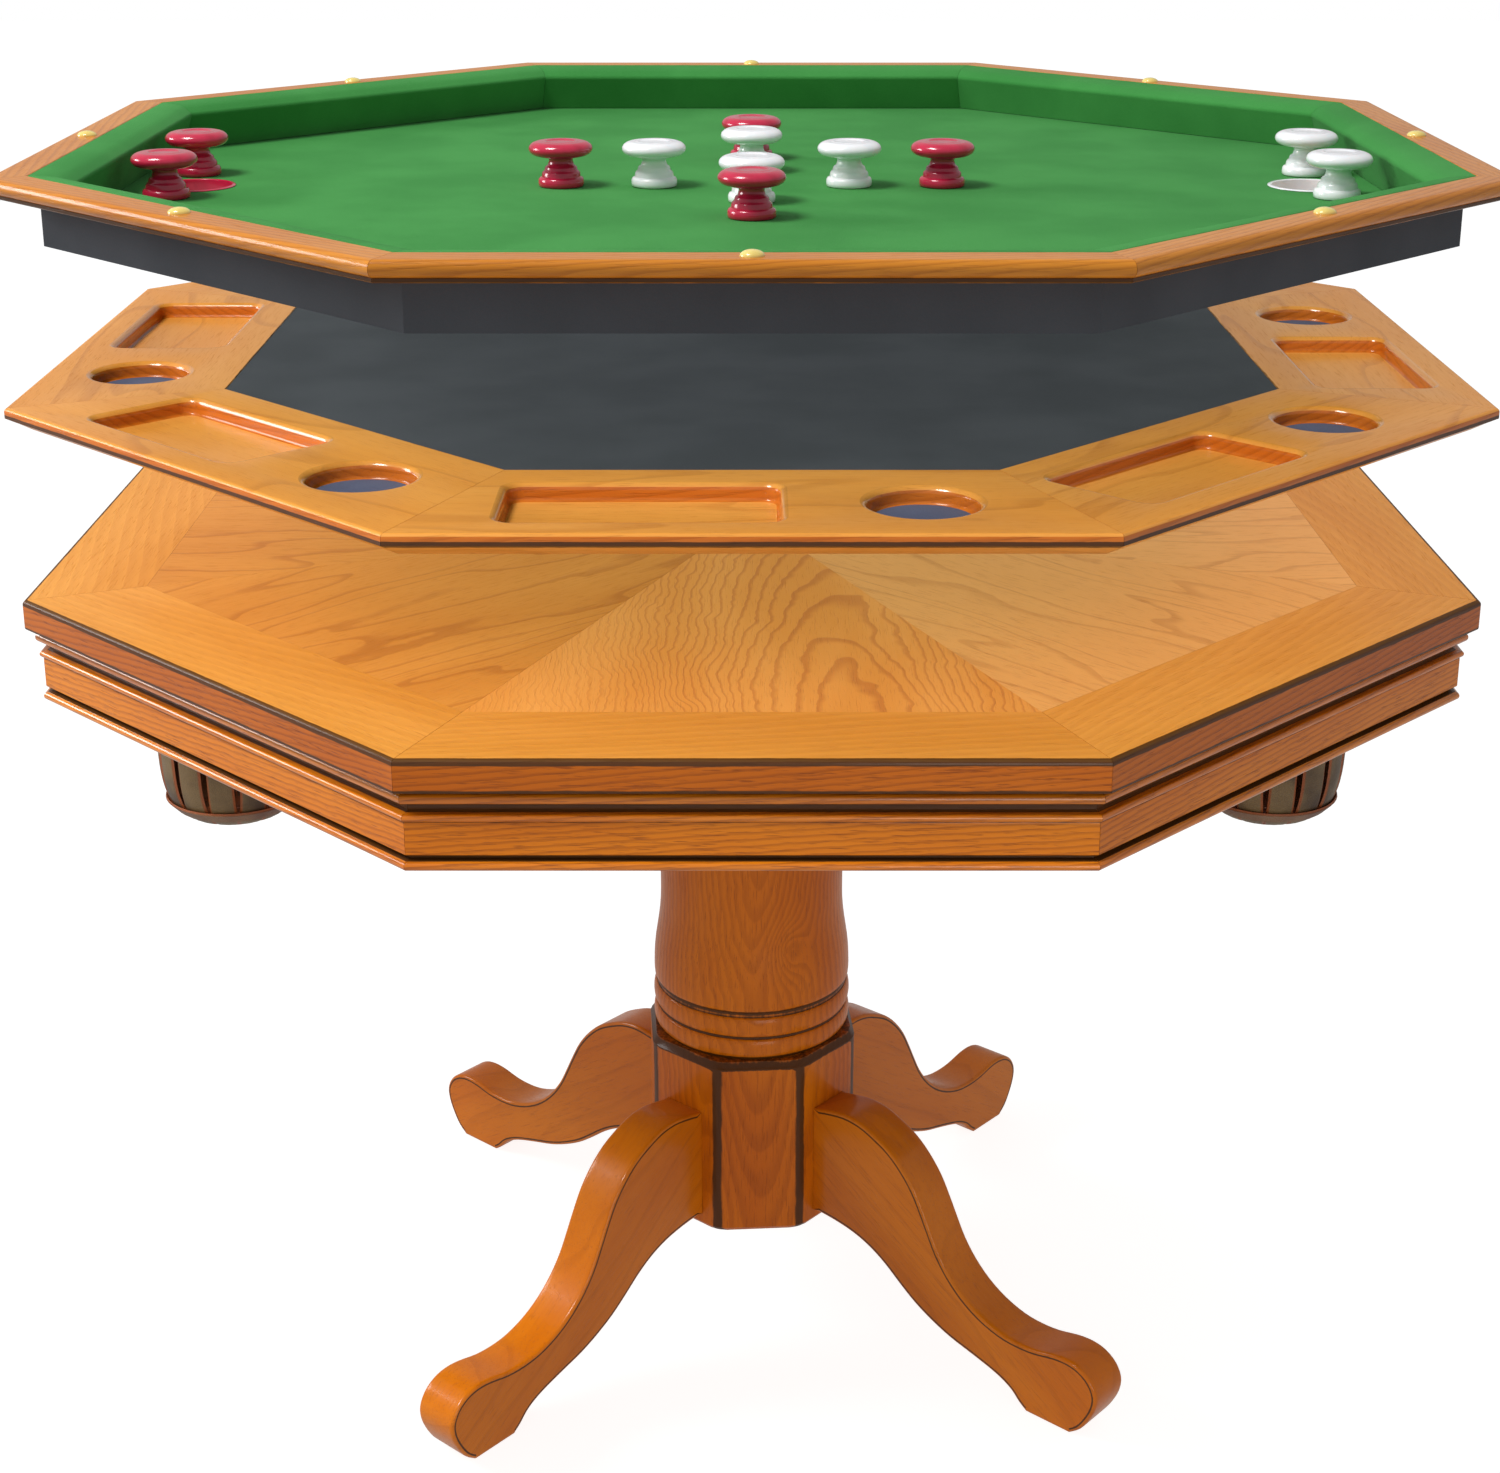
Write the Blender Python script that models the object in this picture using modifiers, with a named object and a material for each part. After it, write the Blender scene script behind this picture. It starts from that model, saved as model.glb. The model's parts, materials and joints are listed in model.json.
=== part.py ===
"""Octagonal three-in-one games table, drawn with its three tops lifted apart.

A pedestal with four scrolled legs carries an eight-sided cabinet.  Over it, from the
bottom up, are the dining top, the poker top and the bumper-pool top.
Metres, +Z up, the front of the table faces -Y.
"""
import math

import bmesh
import bpy

# ---------------------------------------------------------------- driving sizes
HALF_ACROSS = 0.610        # centre to the middle of each straight side of every top
TABLE_HEIGHT = 0.800       # floor to dining surface
POKER_LIFT = 0.165         # dining surface to poker surface
BUMPER_LIFT = 0.187        # poker surface to the top of the bumper-pool rail
GAP = 0.0003               # clearance left between pieces that touch

SLAB_THICK = 0.026         # dining top
BORDER_WIDTH = 0.095       # mitred border of the dining top
BEARER_THICK = 0.003       # thin ring under the dining top
CABINET_DEPTH = 0.061      # height of the apron boards
APRON_THICK = 0.022
FLOOR_THICK = 0.012
FLOOR_RECESS = 0.004

POKER_THICK = 0.020
FIELD_HALF = 0.443         # centre to side of the playing field of the poker top
TRAY_DEPTH = 0.014
TRAY_WIDTH = 0.103
TRAY_CORNER = 0.012
CUP_RADIUS = 0.043

BUMPER_DEPTH = 0.057       # rail top to the underside of the bed
RAIL_WIDTH = 0.032
RAIL_THICK = 0.016
WELL_DEPTH = 0.045         # rail top to the playing bed
NOSE_REACH = 0.0315        # how far the cushion stands in from the rail
WALL_THICK = 0.010
POCKET_RADIUS = 0.033
CAP_RADIUS = 0.0285
CAP_THICK = 0.0135
BUMPER_HEIGHT = 0.040
BASE_RADIUS = 0.0205

BLOCK_HALF = 0.0995        # centre to side of the octagonal pedestal block
BLOCK_BOTTOM = 0.098
BLOCK_TOP = 0.282
COLUMN_RADIUS = 0.096      # at the swelling over the beads
LEG_THICK = 0.045
LEG_REACH = 0.435
LEG_RISE = 0.230
PEDESTAL_TURN = 4.0        # degrees, the pedestal stands a little turned
PLATE_HALF = 0.180
PLATE_THICK = 0.018
BASKET_RADIUS = 0.0755
BASKET_DEPTH = 0.213
BASKET_WALL = 0.0035

# ---------------------------------------------------------------- sizes that follow
T8 = math.tan(math.pi / 8)
C8 = math.cos(math.pi / 8)
POKER_TOP = TABLE_HEIGHT + POKER_LIFT
BUMPER_TOP = POKER_TOP + BUMPER_LIFT
APRON_TOP = TABLE_HEIGHT - SLAB_THICK - BEARER_THICK - 2 * GAP
CABINET_BOTTOM = APRON_TOP - CABINET_DEPTH
APRON_OUT = HALF_ACROSS - 0.012
APRON_IN = APRON_OUT - APRON_THICK
FLOOR_BOTTOM = CABINET_BOTTOM + FLOOR_RECESS
PLATE_TOP = FLOOR_BOTTOM - GAP
COLUMN_TOP = PLATE_TOP - PLATE_THICK - GAP
RAIL_IN = HALF_ACROSS - RAIL_WIDTH
NOSE = RAIL_IN - NOSE_REACH
WALL_IN = RAIL_IN - 0.018
BED_TOP = BUMPER_TOP - WELL_DEPTH
BED_BOTTOM = BUMPER_TOP - BUMPER_DEPTH
LINER_WALL = 0.0016
POCKET_HOLE = POCKET_RADIUS + LINER_WALL + GAP
POCKET_BUMPER_X = NOSE - CAP_RADIUS - 0.010
POCKET_X = POCKET_BUMPER_X - 0.010
POCKET_BUMPER_Y = POCKET_RADIUS + BASE_RADIUS + 0.0135
BASKET_X = min(POCKET_X, APRON_IN - BASKET_RADIUS - 0.002)
CENTRE_WHITE = 0.1426 * HALF_ACROSS
CENTRE_RED = 0.2787 * HALF_ACROSS

OAK = (0.70, 0.34, 0.09, 1)
DARK_OAK = (0.36, 0.14, 0.04, 1)
GREEN = (0.06, 0.31, 0.09, 1)
SLATE = (0.06, 0.07, 0.08, 1)
CRIMSON = (0.62, 0.03, 0.10, 1)
WHITE = (0.86, 0.87, 0.92, 1)
LEATHER = (0.09, 0.05, 0.02, 1)

# ---------------------------------------------------------------- clean start
for old in list(bpy.data.objects):
    bpy.data.objects.remove(old)

table = bpy.data.collections.new("games_table")
cutters = bpy.data.collections.new("cutters")
bpy.context.scene.collection.children.link(table)
bpy.context.scene.collection.children.link(cutters)


def empty(name, location=(0, 0, 0), turn=0.0, parent=None):
    """An empty that gathers the pieces of one moving or turned group."""
    holder = bpy.data.objects.new(name, None)
    table.objects.link(holder)
    holder.location = location
    holder.rotation_euler[2] = math.radians(turn)
    holder.parent = parent
    return holder


def paint(obj, colour, rough):
    """Gives the piece its own material."""
    mat = bpy.data.materials.new(obj.name + "_finish")
    mat.use_nodes = True
    shader = mat.node_tree.nodes["Principled BSDF"]
    shader.inputs["Base Color"].default_value = colour
    shader.inputs["Roughness"].default_value = rough
    obj.data.materials.clear()
    obj.data.materials.append(mat)


def place(name, mesh, colour, rough, location=(0, 0, 0), turn=0.0, parent=None):
    """Puts a mesh in the table's collection as a named piece."""
    obj = bpy.data.objects.new(name, mesh)
    table.objects.link(obj)
    obj.location = location
    obj.rotation_euler[2] = math.radians(turn)
    obj.parent = parent
    paint(obj, colour, rough)
    return obj


def outline_mesh(name, points, closed=True):
    """A mesh of straight edges through (x, z) points in the XZ plane."""
    mesh = bpy.data.meshes.new(name)
    edges = [(i, i + 1) for i in range(len(points) - 1)]
    if closed:
        edges.append((len(points) - 1, 0))
    mesh.from_pydata([(x, 0, z) for x, z in points], edges, [])
    return mesh


def screw(obj, steps):
    """Turns the outline of the piece round its own Z axis."""
    mod = obj.modifiers.new("turn", "SCREW")
    mod.steps = steps
    mod.render_steps = steps
    mod.use_merge_vertices = True
    mod.merge_threshold = 0.0001
    mod.use_smooth_shade = steps > 8
    return mod


def turned(name, points, steps, colour, rough, closed=False, **where):
    """A round piece: (radius, z) points from the top down the outer side."""
    obj = place(name, outline_mesh(name, points, closed), colour, rough, **where)
    screw(obj, steps)
    return obj


def octagon(name, points, colour, rough, closed=False, **where):
    """An eight-sided piece: (half across flats, z) points, top first on the outer side."""
    wide = [(a / C8, z) for a, z in points]
    where["turn"] = where.get("turn", 0.0) + 22.5
    obj = place(name, outline_mesh(name, wide, closed), colour, rough, **where)
    screw(obj, 8)
    return obj


def flat_curve(name, points, half_depth, rounding=0.0):
    """A filled flat outline, thickened both ways, as a mesh."""
    curve = bpy.data.curves.new(name, "CURVE")
    curve.dimensions = "2D"
    curve.fill_mode = "BOTH"
    curve.extrude = half_depth - rounding
    curve.bevel_depth = rounding
    curve.bevel_resolution = 1
    curve.offset = -rounding
    spline = curve.splines.new("POLY")
    spline.points.add(len(points) - 1)
    for point, (x, y) in zip(spline.points, points):
        point.co = (x, y, 0, 1)
    spline.use_cyclic_u = True
    holder = bpy.data.objects.new(name + "_curve", curve)
    cutters.objects.link(holder)
    bpy.context.view_layer.update()
    mesh = bpy.data.meshes.new_from_object(holder)
    bpy.data.objects.remove(holder)
    work = bmesh.new()
    work.from_mesh(mesh)
    bmesh.ops.remove_doubles(work, verts=work.verts, dist=0.00001)
    bmesh.ops.recalc_face_normals(work, faces=work.faces)
    work.to_mesh(mesh)
    work.free()
    return mesh


def mitred_mesh(name, section):
    """One of eight mitred boards: an (a, z) section run along a side, its ends on the mitres."""
    mesh = flat_curve(name, section, 0.1)
    back = GAP / 2 / C8
    for vertex in mesh.vertices:
        radial, height, along = vertex.co
        end = math.copysign(radial * T8 - back, -along)
        vertex.co = (radial, end, height)
    return mesh


def board(name, mesh, number, colour, rough, parent):
    """Board number 0 faces the front; the rest follow counter-clockwise."""
    return place(name, mesh.copy(), colour, rough, turn=45 * number - 90, parent=parent)


def rounded_box(name, x0, x1, y0, y1, corner, steps=4):
    """The outline of a rectangle with round corners."""
    points = []
    corners = ((x1, y1, 0), (x0, y1, 90), (x0, y0, 180), (x1, y0, 270))
    for x, y, start in corners:
        cx = x - math.copysign(corner, x - (x0 + x1) / 2)
        cy = y - math.copysign(corner, y - (y0 + y1) / 2)
        for i in range(steps + 1):
            angle = math.radians(start + 90 * i / steps)
            points.append((cx + corner * math.cos(angle), cy + corner * math.sin(angle)))
    return points


def cutter(name, mesh, location=(0, 0, 0)):
    """A shape that is only ever cut away."""
    obj = bpy.data.objects.new(name, mesh)
    cutters.objects.link(obj)
    obj.location = location
    obj.hide_render = True
    obj.display_type = "WIRE"
    return obj


def cylinder_mesh(name, radius, depth, steps):
    """A closed upright cylinder about its own centre."""
    mesh = bpy.data.meshes.new(name)
    work = bmesh.new()
    bmesh.ops.create_cone(
        work, cap_ends=True, segments=steps, radius1=radius, radius2=radius, depth=depth
    )
    work.to_mesh(mesh)
    work.free()
    return mesh


def cut(obj, tools):
    """Cuts each tool out of the piece."""
    for tool in tools:
        mod = obj.modifiers.new("cut_" + tool.name, "BOOLEAN")
        mod.operation = "DIFFERENCE"
        mod.solver = "EXACT"
        mod.object = tool


def finished_mesh(obj):
    """The mesh of the piece with its modifiers carried out."""
    bpy.context.view_layer.update()
    graph = bpy.context.evaluated_depsgraph_get()
    return bpy.data.meshes.new_from_object(obj.evaluated_get(graph))


# ---------------------------------------------------------------- groups
base = empty("base_group")
pedestal = empty("pedestal_group", turn=PEDESTAL_TURN, parent=base)
dining = empty("dining_lift", (0, 0, TABLE_HEIGHT), parent=base)
poker = empty("poker_lift", (0, 0, POKER_LIFT), parent=dining)
bumper = empty("bumper_lift", (0, 0, BUMPER_LIFT), parent=poker)

# ---------------------------------------------------------------- pedestal
LEG_TOP_LINE = (
    (0.0995, 0.207), (0.118, 0.211), (0.135, 0.213), (0.152, 0.211), (0.168, 0.205),
    (0.185, 0.196), (0.200, 0.183), (0.213, 0.167), (0.223, 0.149), (0.232, 0.131),
    (0.241, 0.114), (0.253, 0.098), (0.268, 0.084), (0.286, 0.073), (0.306, 0.066),
    (0.324, 0.064), (0.342, 0.065), (0.361, 0.069), (0.376, 0.070), (0.389, 0.067),
    (0.400, 0.059), (0.406, 0.047), (0.405, 0.034), (0.399, 0.020), (0.391, 0.008),
    (0.381, 0.000),
)
LEG_UNDER_LINE = (
    (0.337, 0.000), (0.329, 0.006), (0.321, 0.014), (0.311, 0.020), (0.298, 0.025),
    (0.277, 0.031), (0.255, 0.037), (0.235, 0.045), (0.216, 0.055), (0.199, 0.067),
    (0.182, 0.080), (0.165, 0.090), (0.146, 0.097), (0.124, 0.101), (0.0995, 0.103),
)
LEG_ROUND = 0.004
leg_start = BLOCK_HALF + GAP
run = (LEG_REACH - leg_start) / (0.406 - 0.0995)
rise = LEG_RISE / 0.213
leg_line = []
for reach, height in LEG_TOP_LINE + LEG_UNDER_LINE:
    leg_line.append((leg_start + (reach - 0.0995) * run, height * rise))
leg_mesh = flat_curve("leg", leg_line, LEG_THICK / 2, LEG_ROUND)
for vertex in leg_mesh.vertices:
    reach, height, side = vertex.co
    vertex.co = (reach, -side, height)
LEG_PLACES = (
    ("leg_front_right", -45), ("leg_back_right", 45), ("leg_back_left", 135), ("leg_front_left", 225),
)
for name, angle in LEG_PLACES:
    place(name, leg_mesh.copy(), OAK, 0.35, turn=angle, parent=pedestal)

octagon(
    "pedestal_block",
    ((0, BLOCK_TOP), (BLOCK_HALF - 0.006, BLOCK_TOP), (BLOCK_HALF, BLOCK_TOP - 0.006),
     (BLOCK_HALF, BLOCK_BOTTOM + 0.003), (BLOCK_HALF - 0.003, BLOCK_BOTTOM), (0, BLOCK_BOTTOM)),
    OAK, 0.35, parent=pedestal,
)

R = COLUMN_RADIUS
column_foot = BLOCK_TOP + GAP
turned(
    "pedestal_column",
    ((0, COLUMN_TOP), (0.927 * R, COLUMN_TOP), (0.927 * R, column_foot + 0.132),
     (0.945 * R, column_foot + 0.115), (0.985 * R, column_foot + 0.095), (R, column_foot + 0.078),
     (R, column_foot + 0.055), (0.972 * R, column_foot + 0.050), (0.972 * R, column_foot + 0.045),
     (R, column_foot + 0.041), (1.008 * R, column_foot + 0.034), (R, column_foot + 0.027),
     (0.972 * R, column_foot + 0.023), (0.972 * R, column_foot + 0.020), (R, column_foot + 0.017),
     (1.008 * R, column_foot + 0.010), (0.985 * R, column_foot + 0.002), (0.960 * R, column_foot),
     (0, column_foot)),
    28, OAK, 0.35, parent=pedestal,
)

octagon(
    "mounting_plate",
    ((0, PLATE_TOP), (PLATE_HALF, PLATE_TOP), (PLATE_HALF, PLATE_TOP - PLATE_THICK),
     (0, PLATE_TOP - PLATE_THICK)),
    DARK_OAK, 0.5, parent=base,
)

# ---------------------------------------------------------------- cabinet
O = APRON_OUT
z0 = APRON_TOP
apron_section = (
    (O + 0.0010, z0), (O + 0.0045, z0 - 0.0015), (O + 0.0055, z0 - 0.0045),
    (O + 0.0040, z0 - 0.0075), (O - 0.0050, z0 - 0.0090), (O - 0.0055, z0 - 0.0160),
    (O + 0.0010, z0 - 0.0175), (O + 0.0030, z0 - 0.0200), (O + 0.0015, z0 - 0.0225),
    (O, z0 - 0.0240), (O, z0 - 0.0490), (O - 0.0060, z0 - 0.0500), (O - 0.0060, z0 - 0.0525),
    (O + 0.0005, z0 - 0.0535), (O + 0.0025, z0 - 0.0570), (O + 0.0005, z0 - 0.0605),
    (O - 0.0020, CABINET_BOTTOM), (APRON_IN, CABINET_BOTTOM), (APRON_IN, z0),
)
apron_mesh = mitred_mesh("apron", apron_section)
for number in range(8):
    board(f"apron_{number + 1}", apron_mesh, number, OAK, 0.35, base)

floor_half = APRON_IN - GAP
floor = octagon(
    "cabinet_floor",
    ((0, FLOOR_BOTTOM + FLOOR_THICK), (floor_half, FLOOR_BOTTOM + FLOOR_THICK),
     (floor_half, FLOOR_BOTTOM), (0, FLOOR_BOTTOM)),
    DARK_OAK, 0.5, parent=base,
)
hole_mesh = cylinder_mesh("floor_hole", BASKET_RADIUS - 0.012, 0.08, 28)
floor_holes = [
    cutter("floor_hole_left", hole_mesh, (-BASKET_X, 0, FLOOR_BOTTOM)),
    cutter("floor_hole_right", hole_mesh.copy(), (BASKET_X, 0, FLOOR_BOTTOM)),
]
cut(floor, floor_holes)

rim = FLOOR_BOTTOM - GAP
foot = rim - BASKET_DEPTH
B = BASKET_RADIUS
W = BASKET_WALL
basket_line = (
    (0, foot + W), (B - 0.041, foot + 0.001 + W), (B - 0.023, foot + 0.0125),
    (B - 0.011, foot + 0.032), (B - 0.003 - W, foot + 0.061), (B - 0.002 - W, rim),
    (B - 0.0005, rim), (B, rim - 0.014), (B - 0.0015, rim - 0.016), (B - 0.003, foot + 0.060),
    (B - 0.008, foot + 0.030), (B - 0.021, foot + 0.010), (B - 0.040, foot + 0.001), (0, foot),
)
slot_low = foot + 0.045
slot_high = rim - 0.024
slots = []
for number in range(4):
    slot = rounded_box("slot", -B - 0.02, B + 0.02, -0.008, 0.008, 0.002, 1)
    mesh = flat_curve("basket_slot", slot, (slot_high - slot_low) / 2)
    tool = cutter(f"basket_slot_{number + 1}", mesh, (0, 0, (slot_high + slot_low) / 2))
    tool.rotation_euler[2] = math.radians(45 * number + 22.5)
    slots.append(tool)
pattern = turned("basket_pattern", basket_line, 24, LEATHER, 0.6, closed=False)
cut(pattern, slots)
basket_mesh = finished_mesh(pattern)
bpy.data.objects.remove(pattern)
for name, x in (("ball_basket_left", -BASKET_X), ("ball_basket_right", BASKET_X)):
    place(name, basket_mesh.copy(), LEATHER, 0.6, location=(x, 0, 0), parent=base)

# ---------------------------------------------------------------- dining top
A = HALF_ACROSS
border_in = A - BORDER_WIDTH
octagon(
    "dining_border",
    ((border_in, 0), (A - 0.0035, 0), (A - 0.0010, -0.0010), (A, -0.0035),
     (A, -SLAB_THICK + 0.003), (A - 0.0030, -SLAB_THICK), (border_in, -SLAB_THICK)),
    OAK, 0.25, closed=True, parent=dining,
)
panel_half = border_in - GAP
octagon(
    "dining_panel",
    ((0, 0), (panel_half, 0), (panel_half, -SLAB_THICK), (0, -SLAB_THICK)),
    OAK, 0.25, parent=dining,
)
octagon(
    "dining_bearer",
    ((A - 0.054, -SLAB_THICK - GAP), (A - 0.014, -SLAB_THICK - GAP),
     (A - 0.014, -SLAB_THICK - GAP - BEARER_THICK), (A - 0.054, -SLAB_THICK - GAP - BEARER_THICK)),
    DARK_OAK, 0.5, closed=True, parent=dining,
)

# ---------------------------------------------------------------- poker top
segment_in = FIELD_HALF * A / 0.610
segment_section = (
    (segment_in, 0), (A - 0.0040, 0), (A - 0.0010, -0.0012), (A, -0.0040), (A, -0.0085),
    (A - 0.0200, -POKER_THICK), (segment_in, -POKER_THICK),
)
segment_mesh = mitred_mesh("segment", segment_section)
middle = (segment_in + A) / 2 + 0.0025
tray_in = middle - TRAY_WIDTH / 2
tray_outline = rounded_box(
    "tray", tray_in, middle + TRAY_WIDTH / 2, -0.912 * T8 * tray_in, 0.116 * T8 * tray_in, TRAY_CORNER
)
tray_tool = cutter("tray_cut", flat_curve("tray_cut", tray_outline, TRAY_DEPTH))
cup_tool = cutter(
    "cup_cut",
    cylinder_mesh("cup_cut", CUP_RADIUS, 2 * TRAY_DEPTH, 28),
    (middle, 0.556 * T8 * middle, 0),
)
pattern = place("segment_pattern", segment_mesh, OAK, 0.3)
cut(pattern, [tray_tool, cup_tool])
cut_segment = finished_mesh(pattern)
bpy.data.objects.remove(pattern)
for number in range(8):
    board(f"poker_segment_{number + 1}", cut_segment, number, OAK, 0.3, poker)

field_half = segment_in - GAP
octagon(
    "poker_field",
    ((0, -0.0005), (field_half, -0.0005), (field_half, -POKER_THICK), (0, -POKER_THICK)),
    SLATE, 0.95, parent=poker,
)

# ---------------------------------------------------------------- bumper-pool top
rail_section = (
    (RAIL_IN, 0), (A - 0.0065, 0), (A - 0.0020, -0.0018), (A, -0.0062), (A - 0.0020, -0.0106),
    (A - 0.0045, -0.0120), (A - 0.0045, -RAIL_THICK), (WALL_IN + GAP, -RAIL_THICK),
    (WALL_IN + GAP, -0.0100), (RAIL_IN, -0.0100),
)
rail_mesh = mitred_mesh("rail", rail_section)
for number in range(8):
    board(f"rail_{number + 1}", rail_mesh, number, OAK, 0.3, bumper)

cushion_out = RAIL_IN - GAP
cushion_foot = WALL_IN - 0.0025
octagon(
    "cushion_ring",
    ((cushion_out, 0), (cushion_out, -0.0100 + GAP), (WALL_IN - GAP, -0.0100 + GAP),
     (WALL_IN - GAP, -WELL_DEPTH + GAP), (cushion_foot, -WELL_DEPTH + GAP), (NOSE + 0.0015, -0.0160),
     (NOSE, -0.0125), (NOSE + 0.0015, -0.0090), (NOSE + 0.0110, -0.0025)),
    GREEN, 0.9, closed=True, parent=bumper,
)

wall_out = WALL_IN + WALL_THICK
octagon(
    "bed_frame",
    ((WALL_IN, -RAIL_THICK - GAP), (wall_out, -RAIL_THICK - GAP), (wall_out, -BUMPER_DEPTH),
     (WALL_IN, -BUMPER_DEPTH)),
    SLATE, 0.7, closed=True, parent=bumper,
)

bed_half = WALL_IN - GAP
bed = octagon(
    "bumper_bed",
    ((0, -WELL_DEPTH), (bed_half, -WELL_DEPTH), (bed_half, -BUMPER_DEPTH), (0, -BUMPER_DEPTH)),
    GREEN, 0.9, parent=bumper,
)
pocket_mesh = cylinder_mesh("pocket_cut", POCKET_HOLE, 0.08, 28)
pocket_tools = [
    cutter("pocket_cut_left", pocket_mesh, (-POCKET_X, 0, BED_BOTTOM)),
    cutter("pocket_cut_right", pocket_mesh.copy(), (POCKET_X, 0, BED_BOTTOM)),
]
cut(bed, pocket_tools)

P = POCKET_RADIUS
liner_out = P + LINER_WALL
liner_line = (
    (P + 0.0002, -WELL_DEPTH + 0.0015), (P + 0.0022, -WELL_DEPTH + 0.0015),
    (P + 0.0036, -WELL_DEPTH + GAP), (liner_out, -WELL_DEPTH + GAP),
    (liner_out, -BUMPER_DEPTH + 0.0005), (P, -BUMPER_DEPTH + 0.0005), (P - 0.0004, -WELL_DEPTH + 0.0007),
)
for name, x, colour in (
    ("pocket_liner_left", -POCKET_X, CRIMSON), ("pocket_liner_right", POCKET_X, WHITE),
):
    turned(name, liner_line, 28, colour, 0.3, closed=True, location=(x, 0, 0), parent=bumper)

H = BUMPER_HEIGHT
C = CAP_RADIUS
S = BASE_RADIUS
bumper_line = (
    (0, H), (0.62 * C, H), (0.90 * C, H - 0.18 * CAP_THICK), (C, H - 0.5 * CAP_THICK),
    (0.90 * C, H - 0.84 * CAP_THICK), (0.62 * C, H - CAP_THICK), (0.52 * S, H - CAP_THICK - 0.001),
    (0.52 * S, H - CAP_THICK - 0.005), (0.72 * S, 0.40 * H), (0.84 * S, 0.24 * H),
    (S, 0.17 * H), (S, 0.02 * H), (0, 0),
)
stand = -WELL_DEPTH + GAP
BUMPERS = [
    ("bumper_pocket_red_1", -POCKET_BUMPER_X, -POCKET_BUMPER_Y, CRIMSON),
    ("bumper_pocket_red_2", -POCKET_BUMPER_X, POCKET_BUMPER_Y, CRIMSON),
    ("bumper_pocket_white_1", POCKET_BUMPER_X, -POCKET_BUMPER_Y, WHITE),
    ("bumper_pocket_white_2", POCKET_BUMPER_X, POCKET_BUMPER_Y, WHITE),
]
for number in range(4):
    side = math.radians(90 * number - 90)
    east = math.cos(side)
    north = math.sin(side)
    BUMPERS.append((f"bumper_red_{number + 1}", CENTRE_RED * east, CENTRE_RED * north, CRIMSON))
    BUMPERS.append(
        (f"bumper_white_{number + 1}", CENTRE_WHITE * east, CENTRE_WHITE * north, WHITE)
    )
for name, x, y, colour in BUMPERS:
    turned(name, bumper_line, 18, colour, 0.25, location=(x, y, stand), parent=bumper)
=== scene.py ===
# %% [markdown]
# # An octagonal games table with its three tops lifted apart
# A pedestal with four scrolled legs carries an eight-sided cabinet.  Over it hang, from
# the bottom up, a dining top, a poker top and a bumper-pool top.  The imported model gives
# every size and every moving body.  This lesson dresses it: each board is rebuilt with
# its real edges, and each gets wood, cloth, leather or plastic made of shader nodes.

import json
import math
import random

import bmesh
import bpy
from mathutils import Matrix, Vector


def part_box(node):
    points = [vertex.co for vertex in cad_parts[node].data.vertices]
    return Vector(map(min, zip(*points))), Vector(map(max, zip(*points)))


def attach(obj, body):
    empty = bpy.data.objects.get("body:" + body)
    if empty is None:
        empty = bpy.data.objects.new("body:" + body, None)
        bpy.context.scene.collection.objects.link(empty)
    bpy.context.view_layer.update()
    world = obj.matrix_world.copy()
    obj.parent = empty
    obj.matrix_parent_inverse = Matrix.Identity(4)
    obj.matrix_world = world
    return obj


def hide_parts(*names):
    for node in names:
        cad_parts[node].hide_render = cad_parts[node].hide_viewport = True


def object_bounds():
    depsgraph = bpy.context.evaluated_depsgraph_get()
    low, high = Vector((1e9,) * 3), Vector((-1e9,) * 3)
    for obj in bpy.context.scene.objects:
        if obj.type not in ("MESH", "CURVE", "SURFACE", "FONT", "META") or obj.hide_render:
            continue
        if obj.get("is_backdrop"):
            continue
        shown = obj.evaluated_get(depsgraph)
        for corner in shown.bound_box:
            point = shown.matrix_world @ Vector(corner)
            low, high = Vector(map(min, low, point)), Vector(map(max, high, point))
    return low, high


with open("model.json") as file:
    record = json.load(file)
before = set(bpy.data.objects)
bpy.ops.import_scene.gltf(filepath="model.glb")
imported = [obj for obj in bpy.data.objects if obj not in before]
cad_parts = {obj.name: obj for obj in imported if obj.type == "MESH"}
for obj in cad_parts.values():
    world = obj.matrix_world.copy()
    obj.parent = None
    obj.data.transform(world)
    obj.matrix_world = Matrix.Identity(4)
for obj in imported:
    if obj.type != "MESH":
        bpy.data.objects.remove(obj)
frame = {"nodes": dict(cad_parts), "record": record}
cad_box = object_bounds()


def thickness(node):
    """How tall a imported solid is."""
    low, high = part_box(node)
    return high.z - low.z


HALF = cad_box[1].x  # from the centre to the middle of a side of every top
RAIL_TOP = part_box("rail_1")[1].z
POKER_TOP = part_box("poker_segment_1")[1].z
DINING_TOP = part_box("dining_border")[1].z
BASE, DINING, POKER, BUMPER = "pedestal_and_cabinet", "dining_top", "poker_top", "bumper_pool_top"
SIDES = range(8)  # side 0 faces the front and the rest follow counter-clockwise
MITRE = math.tan(math.pi / 8)  # half a side for each metre between the centre and the side
MITRE_SLOPE = math.cos(math.pi / 8)
GAP = 0.0003  # the seam between two boards
LOG_HEART = 0.20  # how far a straight-grained board lies from the heart of its log
print(f"half across {HALF:.3f} m, tops at {DINING_TOP:.3f}, {POKER_TOP:.3f} and {RAIL_TOP:.3f} m")

# %% [markdown]
# ## Camera
# The camera stands a little over two metres in front of the table, at the height of a
# standing person's chest, and looks slightly down, so that each of the three tops shows
# its face.  A small shift of the lens moves the table in the frame without tilting the
# camera further, which would make the legs lean inwards.

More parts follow.
